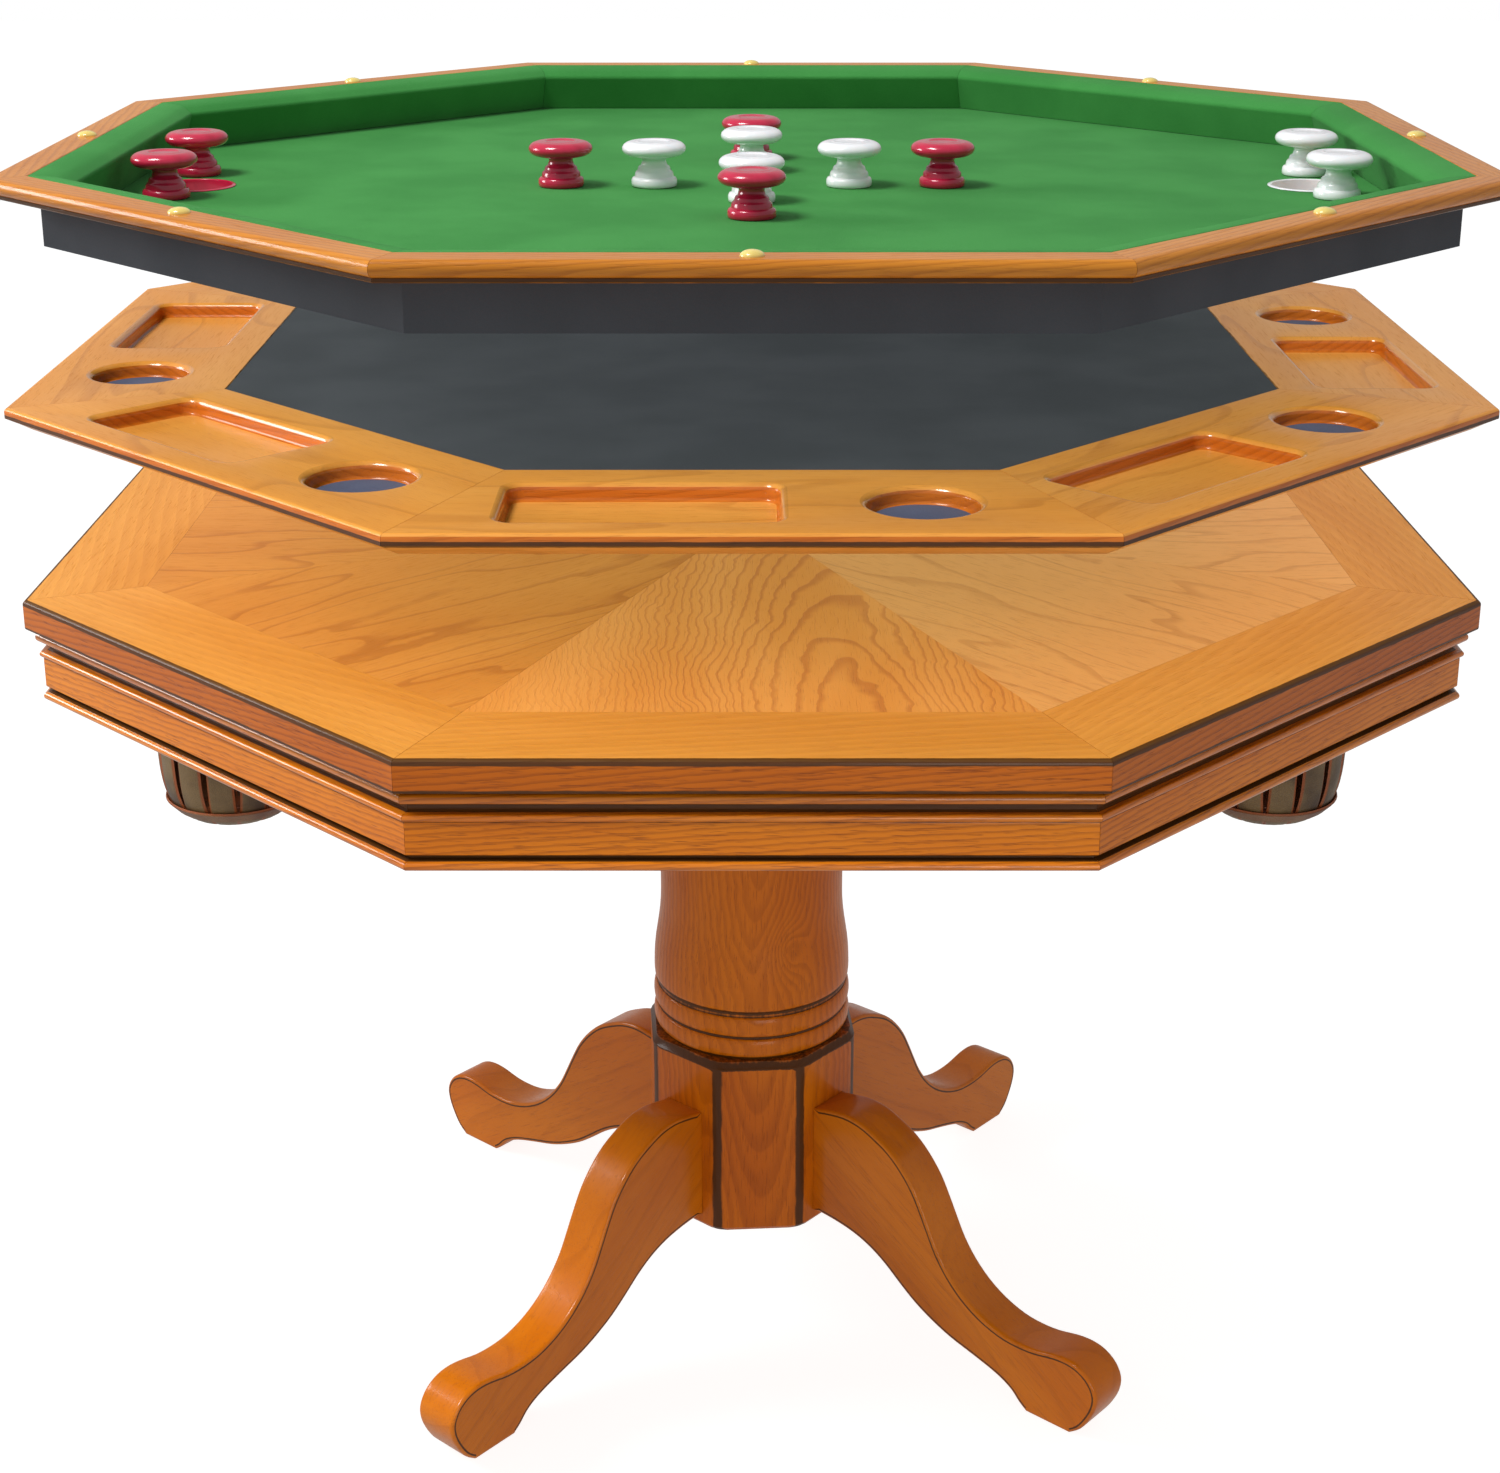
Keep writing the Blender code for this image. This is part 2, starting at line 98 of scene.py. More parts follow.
# %% Camera
CAMERA_PLACE = (-0.0015, -2.228, 1.450)
CAMERA_TILT = 18.20  # degrees below level
camera = bpy.data.objects.new("camera", bpy.data.cameras.new("camera"))
bpy.context.scene.collection.objects.link(camera)
bpy.context.scene.camera = camera
camera.location = CAMERA_PLACE
camera.rotation_euler = (math.radians(90 - CAMERA_TILT), 0, 0)
camera.data.sensor_width = 36
camera.data.lens = 59.70
camera.data.shift_y = -0.0910
print("camera at", CAMERA_PLACE)

# %% [markdown]
# ## Lights
# Each of the three tiers gets its own large key light over the left shoulder; why there
# are three is told near the end.  A low fill reaches the aprons and the pedestal, and a
# box at the left draws the bright line that runs along every rounded moulding.


# %% Lights
def soft_light(name, place, target, size, power, colour=(1, 1, 1)):
    """A square area light that points at a target."""
    lamp = bpy.data.lights.new(name, "AREA")
    lamp.size = size
    lamp.energy = power
    lamp.color = colour
    holder = bpy.data.objects.new(name, lamp)
    bpy.context.scene.collection.objects.link(holder)
    holder.location = place
    aim = Vector(target) - Vector(place)
    holder.rotation_euler = aim.to_track_quat("-Z", "Y").to_euler()
    return holder


KEY_LIGHTS = {  # tier: place and power
    "base": ((-2.5, -2.1, 4.7), 220),
    "poker": ((-2.3, -2.3, 4.7), 212),
    "bumper": ((-1.9, -1.0, 5.0), 156),
}
WARM_WHITE = (1.0, 0.99, 0.97)
key_lamps = {}
for tier, (place, power) in KEY_LIGHTS.items():
    key_lamps[tier] = soft_light(f"key_light_{tier}", place, (0, 0, 0.9), 1.5, power, WARM_WHITE)
fill = soft_light("front_fill", (0.9, -3.4, 0.9), (0, 0, 0.5), 1.4, 20, (1.0, 0.97, 0.92))
soft_light("side_box", (-3.3, 0.5, 2.0), (0, 0, 0.8), 1.1, 42)
print(len(key_lamps), "key lamps, a fill and a side box")

# %% [markdown]
# ## Surround
# A studio sweep is white to the eye, yet it must not flood the wood with light.  The
# Light Path node tells the two apart: rays straight from the camera see full white, and
# every other ray meets a dimmer grey.

# %% Surround
SEEN_WHITE, LIT_GREY = 1.0, 0.42
world = bpy.data.worlds.new("studio")
bpy.context.scene.world = world
world.use_nodes = True
sky = world.node_tree
seen, lit = sky.nodes["Background"], sky.nodes.new("ShaderNodeBackground")
for lamp, strength in ((seen, SEEN_WHITE), (lit, LIT_GREY)):
    lamp.inputs["Color"].default_value = (1, 1, 1, 1)
    lamp.inputs["Strength"].default_value = strength
blend, ray = sky.nodes.new("ShaderNodeMixShader"), sky.nodes.new("ShaderNodeLightPath")
sky.links.new(ray.outputs["Is Camera Ray"], blend.inputs[0])
sky.links.new(lit.outputs[0], blend.inputs[1])
sky.links.new(seen.outputs[0], blend.inputs[2])
sky.links.new(blend.outputs[0], sky.nodes["World Output"].inputs["Surface"])
bpy.context.scene.view_settings.view_transform = "Standard"
print("white surround, lit at", LIT_GREY)

# %% [markdown]
# ## Writing shaders as sums
# A wood or cloth is a formula over the surface.  Wiring it by hand takes dozens of
# nodes, so a small class stands for one output of a node, and adding or multiplying two
# of them adds the Math node.  `Finish.node` makes every other kind: its settings, such
# as a Math node's operation, go first, and then the values or wires of its sockets.


# %% A wire
class Wire:
    """One output of a shader node, which can stand in a sum."""

    def __init__(self, finish, socket):
        self.finish = finish
        self.socket = socket

    def math(self, operation, *others, first=None):
        values = [self if first is None else first, *others]
        return self.finish.node("Math", {"operation": operation}, dict(enumerate(values)))

    def __add__(self, other):
        return self.math("ADD", other)

    __radd__ = __add__

    def __mul__(self, other):
        return self.math("MULTIPLY", other)

    __rmul__ = __mul__

    def __sub__(self, other):
        return self.math("SUBTRACT", other)

    def __rsub__(self, other):
        return self.math("SUBTRACT", self, first=other)

    def __truediv__(self, other):
        return self.math("DIVIDE", other)

    def __pow__(self, other):
        return self.math("POWER", other)

    def between(self, low, high):
        """0 below low, 1 above high, smooth in between."""
        settings = {"interpolation_type": "SMOOTHSTEP"}
        values = {"Value": self, "From Min": low, "From Max": high}
        return self.finish.node("MapRange", settings, values)


print("wires can be added, subtracted, multiplied, divided and raised")


# %% A finish
class Finish:
    """A material built from nodes; the numbers that never vary are given by name."""

    def __init__(self, name, **constants):
        self.material = bpy.data.materials.new(name)
        self.material.use_nodes = True
        self.tree = self.material.node_tree
        self.shader = self.tree.nodes["Principled BSDF"]
        for key, value in constants.items():
            self.shader.inputs[key.replace("_", " ")].default_value = value

    def node(self, kind, settings=None, values=None, out=0):
        made = self.tree.nodes.new("ShaderNode" + kind)
        for key, value in (settings or {}).items():
            setattr(made, key, value)
        for key, value in (values or {}).items():
            if isinstance(value, Wire):
                self.tree.links.new(value.socket, made.inputs[key])
            else:
                made.inputs[key].default_value = value
        return Wire(self, made.outputs[out])

    def attribute(self, name, out="Fac"):
        return self.node("Attribute", {"attribute_name": name}, out=out)

    def object_place(self):
        return self.node("TexCoord", out="Object")

    def noise(self, place, scale, detail=2.0, rough=0.5):
        values = {"Vector": place, "Scale": scale, "Detail": detail, "Roughness": rough}
        return self.node("TexNoise", {}, values)

    def stretch(self, place, x, y, z):
        return self.node("VectorMath", {"operation": "MULTIPLY"}, {0: place, 1: (x, y, z)})

    def mix(self, factor, a, b):
        return self.node("Mix", {"data_type": "RGBA"}, {0: factor, 6: a, 7: b}, out=2)

    def feed(self, **wires):
        for key, wire in wires.items():
            self.tree.links.new(wire.socket, self.shader.inputs[key.replace("_", " ")])

    def bump(self, height, distance, strength=1.0):
        values = {"Strength": strength, "Distance": distance, "Height": height}
        self.feed(Normal=self.node("Bump", {}, values))


def rgb(red, green, blue):
    """A screen colour, 0 to 255 each, as the linear colour a shader takes."""
    return tuple((c / 255) ** 2.2 for c in (red, green, blue)) + (1.0,)


print("shader tools ready")

# %% [markdown]
# ## Oak
# Plain-sawn oak shows the tree's rings as nested arches.  A painted texture would do for
# one board, but fifty boards need fifty of them.  So the tree is drawn instead: a board
# is a flat cut through a log that tapers, its rings are cones round a heart line,
# and the distance to the heart, counted in rings, gives the arches for free.  A board
# cut far from the heart shows straight lines.
#
# Every vertex carries its place in the log, `grain` (along, across, deep, in metres),
# its board number, and `glaze`, how much of the dark antique glaze was left there when
# the maker wiped it off.  On a few edges, named where they are drawn, the same number is
# painted shade instead.  A bead that was rubbed clean and polished has a glaze below
# zero, and a glossier coat.

# %% How a board was cut
CUT = {
    "spacing": 0.006,  # between two rings, in metres
    "growth": 0.0,  # how much closer the outer rings are
    "heart": 0.03,  # depth of the heart under the face
    "taper": 0.1,  # how fast the log narrows
    "wander": 0.03,  # slow bends of the rings
    "wobble": 0.003,  # quick bends
    "ring": 2.6,  # slow bends for each metre along
    "flame": 0.0,  # long tongues, as in crown-cut veneer
    "knot": None,  # along, across, width and number of rings of an eye
}


def ring_count(f, grain, shifted, cut):
    """The number of rings from the heart to here, and the distance to the heart."""
    parts = f.node("SeparateXYZ", {}, {0: grain}).socket.node
    along, across, deep = (Wire(f, parts.outputs[i]) for i in range(3))
    slow = f.noise(f.stretch(shifted, cut["ring"], 9, 9), 1.0, 2.0) - 0.5
    wave = f.noise(f.stretch(shifted, 38, 24, 24), 1.0, 2.0) - 0.5
    side = across + slow * cut["wander"] + wave * cut["wobble"]
    depth = deep + along * cut["taper"] + cut["heart"] + slow * cut["wander"] * 0.5
    radius = (side * side + depth * depth) ** 0.5
    count = radius * (1 + radius * cut["growth"]) / cut["spacing"]
    if cut["flame"]:
        count = count + f.noise(f.stretch(shifted, 3.2, 15, 15), 1.0, 1.0) * cut["flame"]
    if cut["knot"]:
        up, aside, width, rings = cut["knot"]
        rise, off = (along - up) / (width * 1.5), (across - aside) / width
        count = count + (1 + rise * rise + off * off) ** -1.5 * rings
    return count, radius


print("a board's cut has", len(CUT), "measures")

# %% [markdown]
# ### The oak formula
# One formula makes every oak here.  Clouds and streaks vary the pale wood, the dark late
# edge of each ring is drawn over it, then the short open pores, and last the glaze and
# the painted shade that shares its mask, whose edge is broken up by noise, as a wiped
# edge is.  The same masks drive the roughness and a shallow bump.

# %% Oak finish
# The dark brown of the glaze, which also serves as painted shade.
GLAZE_AND_SHADE = rgb(66, 42, 20)


def oak(name, pale, mid, dark, figure=0.5, thin=0.3, fade=9.0, gloss=0.34, coat=0.12,
        pore=0.22, light=None, loose=False, rubbed=False, **cut):
    """Oak of three tones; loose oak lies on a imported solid, which has no log place."""
    f = Finish(name, Coat_Weight=coat, Coat_Roughness=0.14, IOR=1.45, Specular_IOR_Level=0.15)
    grain = f.object_place() if loose else f.attribute("grain", "Vector")
    board = f.attribute("board")
    glaze = f.attribute("glaze")
    jump = f.node("CombineXYZ", {}, {"X": board * 3.7, "Y": board * 1.9, "Z": board})
    shifted = f.node("VectorMath", {"operation": "ADD"}, {0: grain, 1: jump})

    count, radius = ring_count(f, grain, shifted, {**CUT, **cut})
    phase = count.math("FRACT")
    late = phase.between(1 - thin * 2, 1 - thin * 0.6) * (1 - phase.between(1 - thin * 0.3, 1.0))
    streak = f.noise(f.stretch(shifted, 7, 330, 330), 1.0, 3.0, 0.6)
    pores = f.noise(f.stretch(shifted, 42, 820, 820), 1.0, 2.0, 0.7).between(0.55, 0.70)
    cloud = f.noise(f.stretch(shifted, 3, 12, 12), 1.0, 3.0)

    colour = f.mix(cloud.between(0.3, 0.7), pale, mid)
    colour = f.mix(streak.between(0.42, 0.72) * 0.35, colour, mid)
    lines = late * figure * (0.45 + cloud) * (1 - radius.between(fade * 0.3, fade) * 0.75)
    # `light` pulls a board towards a paler colour by its board number; on the side veneers that
    # paints both their different trees and how each caught the light.
    if light:
        colour = f.mix(board * 0.8, colour, light)
        lines = lines * (1 - board * 0.5)
    colour = f.mix(lines, colour, dark)
    colour = f.mix(pores * pore, colour, dark)

    worn = f.noise(f.stretch(shifted, 60, 300, 300), 1.0, 3.0, 0.6) - 0.5
    blot = f.noise(f.stretch(shifted, 14, 60, 60), 1.0, 2.0) - 0.5
    broken = glaze + worn * 0.5 + blot * 0.35
    # The glaze mask: real glaze on most boards, and painted shade where a board's glaze value
    # stands for shade.
    glaze_and_shade_mask = broken.between(0.42, 0.72) * glaze.between(0.02, 0.25)
    colour = f.mix(glaze_and_shade_mask * 0.93, colour, GLAZE_AND_SHADE)
    f.feed(Base_Color=colour, Roughness=gloss + pores * 0.15 + streak * 0.10 + glaze_and_shade_mask * 0.15)
    if rubbed:
        f.feed(Coat_Weight=coat + (0 - glaze).between(0.1, 0.5) * (1 - coat))
    f.bump(late * 0.4 - pores * 0.8 + streak * 0.25 - glaze_and_shade_mask * 0.3, 0.00018)
    return f.material


print("glaze colour", tuple(round(c, 3) for c in GLAZE_AND_SHADE[:3]))

# %% [markdown]
# ### Eleven oaks
# The same stain dries differently on each board: flat veneers stay golden, edges and end
# grain drink more and turn red-brown, and the pedestal is darkest.  The front veneer is
# cut close to the heart for its arches, and the side veneers are flamed.

# %% Oaks of the tops
TOP_OAK = oak(
    "top_oak", rgb(228, 162, 74), rgb(216, 148, 60), rgb(184, 116, 42),
    figure=0.2, spacing=0.006, wander=0.012, thin=0.5, pore=0.35,
)
FRONT_VENEER = oak(
    "front_veneer", rgb(234, 168, 84), rgb(224, 154, 70), rgb(180, 108, 54),
    figure=0.5, spacing=0.0195, growth=6.6, heart=0.002, taper=-0.17, wander=0.075,
    wobble=0.011, thin=0.2, fade=0.28, ring=5.5,
)
SIDE_VENEER = oak(
    "side_veneer", rgb(214, 146, 60), rgb(202, 132, 48), rgb(160, 92, 36),
    figure=0.42, spacing=0.05, wander=0.03, wobble=0.010, flame=5.5, thin=0.12, pore=0.35,
    light=rgb(250, 196, 118),
)
SLAB_OAK = oak(
    "slab_oak", rgb(186, 98, 14), rgb(170, 84, 8), rgb(106, 48, 2),
    figure=0.4, spacing=0.0042, wander=0.006, coat=0.35, gloss=0.28, pore=0.6,
)
POKER_OAK = oak(
    "poker_oak", rgb(236, 162, 78), rgb(224, 146, 62), rgb(178, 104, 40),
    figure=0.32, spacing=0.05, flame=3.0, thin=0.10, coat=0.2, gloss=0.28, pore=0.3,
    rubbed=True,
)
# The recess walls and the outer edge get a redder, darker oak: partly stain that the milled grain
# drank, partly painted shade inside the recesses.
MILLED_STAIN_AND_SHADE_OAK = oak(
    "milled_stain_and_shade_oak", rgb(214, 120, 44), rgb(198, 102, 28), rgb(140, 66, 14),
    figure=0.3, coat=0.5, gloss=0.28, rubbed=True,
)
RAIL_OAK = oak(
    "rail_oak", rgb(218, 140, 50), rgb(202, 122, 36), rgb(148, 78, 20),
    figure=0.35, spacing=0.0045, wander=0.008, coat=0.3, gloss=0.26,
)
print("seven oaks for the tops")

# %% Oaks of the cabinet and pedestal
EDGE_OAK = oak(
    "edge_oak", rgb(214, 124, 24), rgb(196, 104, 12), rgb(122, 58, 4),
    figure=0.4, spacing=0.0042, wander=0.006, coat=0.4, gloss=0.28, pore=0.6, rubbed=True,
)
LEG_OAK = oak(
    "leg_oak", rgb(208, 116, 22), rgb(192, 100, 12), rgb(140, 68, 6),
    figure=0.16, spacing=0.03, wander=0.03, flame=2.5, thin=0.14, coat=0.35, gloss=0.26,
    pore=0.3,
)
BLOCK_OAK = oak(
    "block_oak", rgb(208, 112, 18), rgb(190, 94, 8), rgb(128, 56, 2),
    figure=0.27, spacing=0.0052, wobble=0.006, thin=0.4, coat=0.25, pore=0.4,
    knot=(0.394, 0.030, 0.022, 6.0),
)
PLAIN_WOOD = oak(
    "under_oak", rgb(190, 140, 84), rgb(172, 120, 66), rgb(130, 84, 42),
    figure=0.4, gloss=0.5, coat=0.0, loose=True,
)
print("four oaks for the rest")

# %% [markdown]
# ## Cloth
# The playing cloths are napped wool: no weave shows, only a soft mottling and a fuzz
# that catches light at low angles, which is what sheen is for.  Two noises, one round
# and one drawn out along the nap, make the fuzz, and a slow one makes the mottling.


# %% Napped cloth
def napped(name, light, dark, sheen=0.05):
    f = Finish(
        name, Roughness=0.95, Sheen_Weight=sheen, Sheen_Roughness=0.5, Specular_IOR_Level=0.08
    )
    place = f.object_place()
    fuzz = f.noise(place, 2600, 2.0, 0.7)
    fibre = f.noise(f.stretch(place, 900, 260, 900), 1.0, 3.0, 0.6)
    cloud = f.noise(place, 9, 3.0)
    factor = fuzz * 0.35 + fibre * 0.35 + cloud.between(0.3, 0.7) * 0.4
    f.feed(Base_Color=f.mix(factor, light, dark))
    f.bump(fuzz + fibre * 0.6, 0.0005, 0.6)
    return f.material


GREEN_CLOTH = napped("green_cloth", rgb(76, 154, 80), rgb(54, 126, 60))
SLATE_CLOTH = napped("slate_cloth", rgb(80, 84, 90), rgb(60, 64, 69))
CUP_FELT = napped("cup_felt", rgb(104, 112, 140), rgb(74, 80, 104))
# The frame under the rail gets a dark grey that paints the shade under the rail's overhang.
FRAME_SHADE_GREY = napped("frame_shade_grey", rgb(92, 96, 102), rgb(76, 80, 85), 0.0)
print("green, slate and blue cloth, and a matt charcoal paint")

# %% [markdown]
# ## Plastic
# The bumpers are moulded plastic.  Light goes a little way in, so the colour is drawn
# with some subsurface scatter under a clear coat, and a fine haze of scuffs round the
# post breaks up the reflections.


# %% Moulded plastic
def plastic(name, colour, deep):
    f = Finish(name, Coat_Weight=0.5, Coat_Roughness=0.06, Subsurface_Weight=0.06)
    f.shader.inputs["Subsurface Radius"].default_value = (0.004, 0.002, 0.002)
    place = f.object_place()
    haze = f.noise(place, 60, 3.0)
    scuff = f.noise(f.stretch(place, 1400, 1400, 200), 1.0, 2.0, 0.7)
    f.feed(
        Base_Color=f.mix(haze.between(0.35, 0.7) * 0.5, colour, deep),
        Roughness=0.16 + haze * 0.10 + scuff.between(0.6, 0.8) * 0.12,
    )
    f.bump(haze + scuff * 0.2, 0.0001, 0.4)
    return f.material


CRIMSON = plastic("crimson_plastic", rgb(204, 36, 74), rgb(168, 18, 52))
IVORY_WHITE = plastic("white_plastic", rgb(250, 250, 254), rgb(236, 238, 250))
SIGHT = plastic("sight_cream", rgb(246, 226, 134), rgb(216, 178, 82))
print("crimson, white and cream plastic")

# %% [markdown]
# ## Leather
# Strap leather is dyed olive on its face, but its cut edges show the tan inside.  A
# Voronoi pattern gives the small plates of the grain with creases between them, and the
# `glaze` of a vertex says how near a cut edge it is.


# %% Leather
def leather(name, face, crease, cut_edge):
    f = Finish(name, Coat_Weight=0.15, Coat_Roughness=0.35)
    place = f.object_place()
    voronoi = {"feature": "DISTANCE_TO_EDGE"}
    cells = f.node("TexVoronoi", voronoi, {"Vector": place, "Scale": 620})
    cloud = f.noise(place, 22, 3.0)
    crack = 1 - cells.between(0.0, 0.12)
    colour = f.mix(cloud.between(0.3, 0.7), face, crease)
    colour = f.mix(f.attribute("glaze").between(0.3, 0.9), colour, cut_edge)
    f.feed(Base_Color=f.mix(crack * 0.5, colour, crease), Roughness=0.42 + cloud * 0.25)
    f.bump(cells.between(0.0, 0.3) + cloud * 0.4, 0.0004, 0.7)
    return f.material


STRAP_LEATHER = leather("strap_leather", rgb(122, 98, 60), rgb(66, 46, 26), rgb(160, 82, 36))
print("strap leather made")

# %% [markdown]
# ## Numbers on the vertices
# A board has to know how it lay in its log, and where its glaze stayed.  A painted map
# could hold that, but numbers stored on the vertices need no painting, follow the shape
# exactly and reach the shader by name.  Each board draws its own number, so that no two
# boards show the same figure.

# %% Grain and glaze
lottery = random.Random(7)


def own_attribute(mesh, name, kind, values):
    """Stores one number or vector for each vertex."""
    made = mesh.attributes.get(name) or mesh.attributes.new(name, kind, "POINT")
    key = "vector" if kind == "FLOAT_VECTOR" else "value"
    made.data.foreach_set(key, values)


def lay_grain(mesh, along, across, heart=(0, 0, 0), board=None):
    """Writes where each vertex lies in its log, seen from the log's heart, and its board."""
    along, across, heart = Vector(along), Vector(across), Vector(heart)
    deep = along.cross(across)
    places = []
    for vertex in mesh.vertices:
        point = vertex.co - heart
        places += [point.dot(along), point.dot(across), point.dot(deep)]
    own_attribute(mesh, "grain", "FLOAT_VECTOR", places)
    board = lottery.random() if board is None else board
    own_attribute(mesh, "board", "FLOAT", [board] * len(mesh.vertices))
    if "glaze" not in mesh.attributes:
        own_attribute(mesh, "glaze", "FLOAT", [0.0] * len(mesh.vertices))


print("the lottery draws a number for each board")

# %% [markdown]
# ## Making a piece
# `piece` puts a finished mesh in the scene, gives it its finish, marks its sharp edges,
# lets it ride on its body and hides the imported solid it stands for.  Marking edges by
# their angle keeps an arris crisp next to a rounded bead, where a single smooth or flat
# setting would spoil one of the two.

# %% A piece
ridden = {}


def smooth_faces(mesh, sharp):
    """Shades the mesh smooth except across edges sharper than that many degrees."""
    work = bmesh.new()
    work.from_mesh(mesh)
    limit = math.radians(sharp)
    for face in work.faces:
        face.smooth = True
    for edge in work.edges:
        edge.smooth = edge.is_manifold and edge.calc_face_angle(0) < limit
    work.to_mesh(mesh)
    work.free()


def piece(name, mesh, finish, body, stands_for=(), place=(0, 0, 0), turn=0.0, sharp=32):
    """Adds a named piece that rides on a body."""
    obj = bpy.data.objects.new(name, mesh)
    bpy.context.scene.collection.objects.link(obj)
    obj.location = place
    obj.rotation_euler[2] = math.radians(turn)
    mesh.materials.clear()
    mesh.materials.append(finish)
    smooth_faces(mesh, sharp)
    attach(obj, body)
    ridden[obj] = body
    if stands_for:
        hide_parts(*stands_for)
    return obj


print("pieces can ride on", ", ".join((BASE, DINING, POKER, BUMPER)))

# %% [markdown]
# ## Skins over rows of points
# Boards, legs, hoops and lathe work are all one idea: rows of points with a skin drawn
# between them.  The rows are computed, which gives exact control of every small
# moulding, where a bevel modifier would round all edges alike.


# %% Meshes from points
def mesh_of(name, points, faces, glaze=None):
    """A mesh whose faces all look outwards."""
    mesh = bpy.data.meshes.new(name)
    mesh.from_pydata(points, [], faces)
    if glaze:
        own_attribute(mesh, "glaze", "FLOAT", glaze)
    work = bmesh.new()
    work.from_mesh(mesh)
    bmesh.ops.recalc_face_normals(work, faces=work.faces)
    work.to_mesh(mesh)
    work.free()
    return mesh


def wall(count, n, start=0, closed=False):
    """Faces between rows of n points; closed joins the last row to the first."""
    faces = []
    for row in range(count if closed else count - 1):
        a, b = start + row * n, start + ((row + 1) % count) * n
        for i in range(n):
            j = (i + 1) % n
            faces.append((a + i, a + j, b + j, b + i))
    return faces


def ends(count, n, start=0):
    """The first and the last row of points, each as one face."""
    last = start + (count - 1) * n
    return [tuple(range(start, start + n)), tuple(range(last, last + n))]


def joined_rings(rings):
    """Faces between rings of point numbers; they close to triangles at a single point."""
    faces = []
    for upper, lower in zip(rings, rings[1:]):
        for i in range(len(upper)):
            j = (i + 1) % len(upper)
            corners = (upper[i], upper[j], lower[j], lower[i])
            faces.append(tuple(dict.fromkeys(corners)))
    return faces


print("skins: wall, ends and joined rings")

# %% Mitred boards and lathe work
ON_AXIS = 1e-6  # a ring smaller than this is one point


def around(x, y, angle):
    """The spot (x, y) carried round the middle by an angle in radians."""
    return (
        x * math.cos(angle) - y * math.sin(angle),
        x * math.sin(angle) + y * math.cos(angle),
    )


def arc(x, z, radius, start, end, count, glaze=(0, 0)):
    """Points (x, z, glaze) along an arc, angles in degrees."""
    points = []
    for i in range(count + 1):
        t = i / count
        angle = math.radians(start + (end - start) * t)
        tint = glaze[0] + (glaze[1] - glaze[0]) * t
        points.append((x + radius * math.cos(angle), z + radius * math.sin(angle), tint))
    return points


def mitred(name, section, top=0.0):
    """One of eight boards: a section of (out, z, glaze) with both ends cut on the mitre."""
    back = GAP / 2 / MITRE_SLOPE
    points, glaze = [], []
    for end in (-1, 1):
        for out, z, tint in section:
            points.append((out, end * (out * MITRE - back), z + top))
            glaze.append(tint)
    n = len(section)
    return mesh_of(name, points, ends(2, n) + wall(2, n), glaze)


def turned(name, profile, steps=96):
    """A lathe piece: (radius, z, glaze) points from the top down."""
    points, glaze, rings = [], [], []
    for radius, z, tint in profile:
        spokes = steps if radius > ON_AXIS else 1
        rings.append([len(points) + i % spokes for i in range(steps)])
        for i in range(spokes):
            points.append((*around(radius, 0, 2 * math.pi * i / steps), z))
            glaze.append(tint)
    return mesh_of(name, points, joined_rings(rings), glaze)


print("a section makes a mitred board or a lathe piece")

# %% [markdown]
# ## Boards by the eight
# Nearly everything here comes in rings of eight, one board to a side.  One function cuts
# a ring from a section and turns each board to its side.  Some rings stand for eight
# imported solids, and some for a single one, which then goes with the first board.


# %% Rings of boards
def facing(side):
    """How far a board is turned to face its side, in degrees."""
    return 45 * side - 90


def solid_of(side, solid):
    """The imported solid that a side's board stands for."""
    if "{}" in solid:
        return [solid.format(side + 1)]
    return [solid] if side == 0 else ()


def flat_log(top):
    """The log of boards that lie flat with their grain along their side."""
    return (0, 1, 0), (1, 0, 0), (HALF - LOG_HEART, 0, top + LOG_HEART)


def ring_of_boards(name, section, top, finish, body, solid, log=None):
    """Eight mitred boards of one section; those of wood lie in a log."""
    boards = []
    for side in SIDES:
        mesh = mitred(name, section, top)
        if log:
            lay_grain(mesh, *log)
        stands_for = solid_of(side, solid)
        title = f"{name}_{side + 1}"
        boards.append(piece(title, mesh, finish, body, stands_for, turn=facing(side)))
    return boards


def second_finish(board, finish, chosen):
    """Gives the chosen faces of a board another finish."""
    board.data.materials.append(finish)
    for face in board.data.polygons:
        if chosen(face):
            face.material_index = 1


print("sides face", [facing(side) for side in SIDES])

# %% [markdown]
# ## The dining border
# The lowest top is a slab with a mitred border of eight boards.  A section is drawn
# once, from the inner edge outwards over the top and back underneath, and each board is
# that section cut on the mitre at both ends.  The upper arris was knocked about and
# glazed, so a broken dark line runs round it, and the outside edge took the stain
# deeper than the face, so it gets a second, darker oak.

# %% Dining border
SLAB = thickness("dining_border")
BORDER_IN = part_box("dining_panel")[1].x + GAP
border = [(BORDER_IN, 0, 0), (HALF - 0.0050, 0, 0)]
border += arc(HALF - 0.0035, -0.0035, 0.0035, 90, 0, 5, (0.75, 1.0))  # the upper arris
border += [
    (HALF, -0.0050, 0.45), (HALF, -0.0075, 0),
    (HALF, -SLAB + 0.0060, 0), (HALF, -SLAB + 0.003, 0.5),
]
# The lower arris, glaze 0.8 to 1, and the point above it at 0.5 are painted shade of the gap
# between the slab and the apron.
border += arc(HALF - 0.002, -SLAB + 0.002, 0.002, 0, -90, 3, (0.8, 1.0))  # the lower one
border += [(BORDER_IN, -SLAB, 0)]
for board in ring_of_boards(
    "dining_border", border, DINING_TOP, TOP_OAK, DINING, "dining_border",
    flat_log(DINING_TOP),
):
    second_finish(board, SLAB_OAK, lambda face: face.normal.z < 0.5)
print("dining border of 8 boards,", len(border), "points in the section")
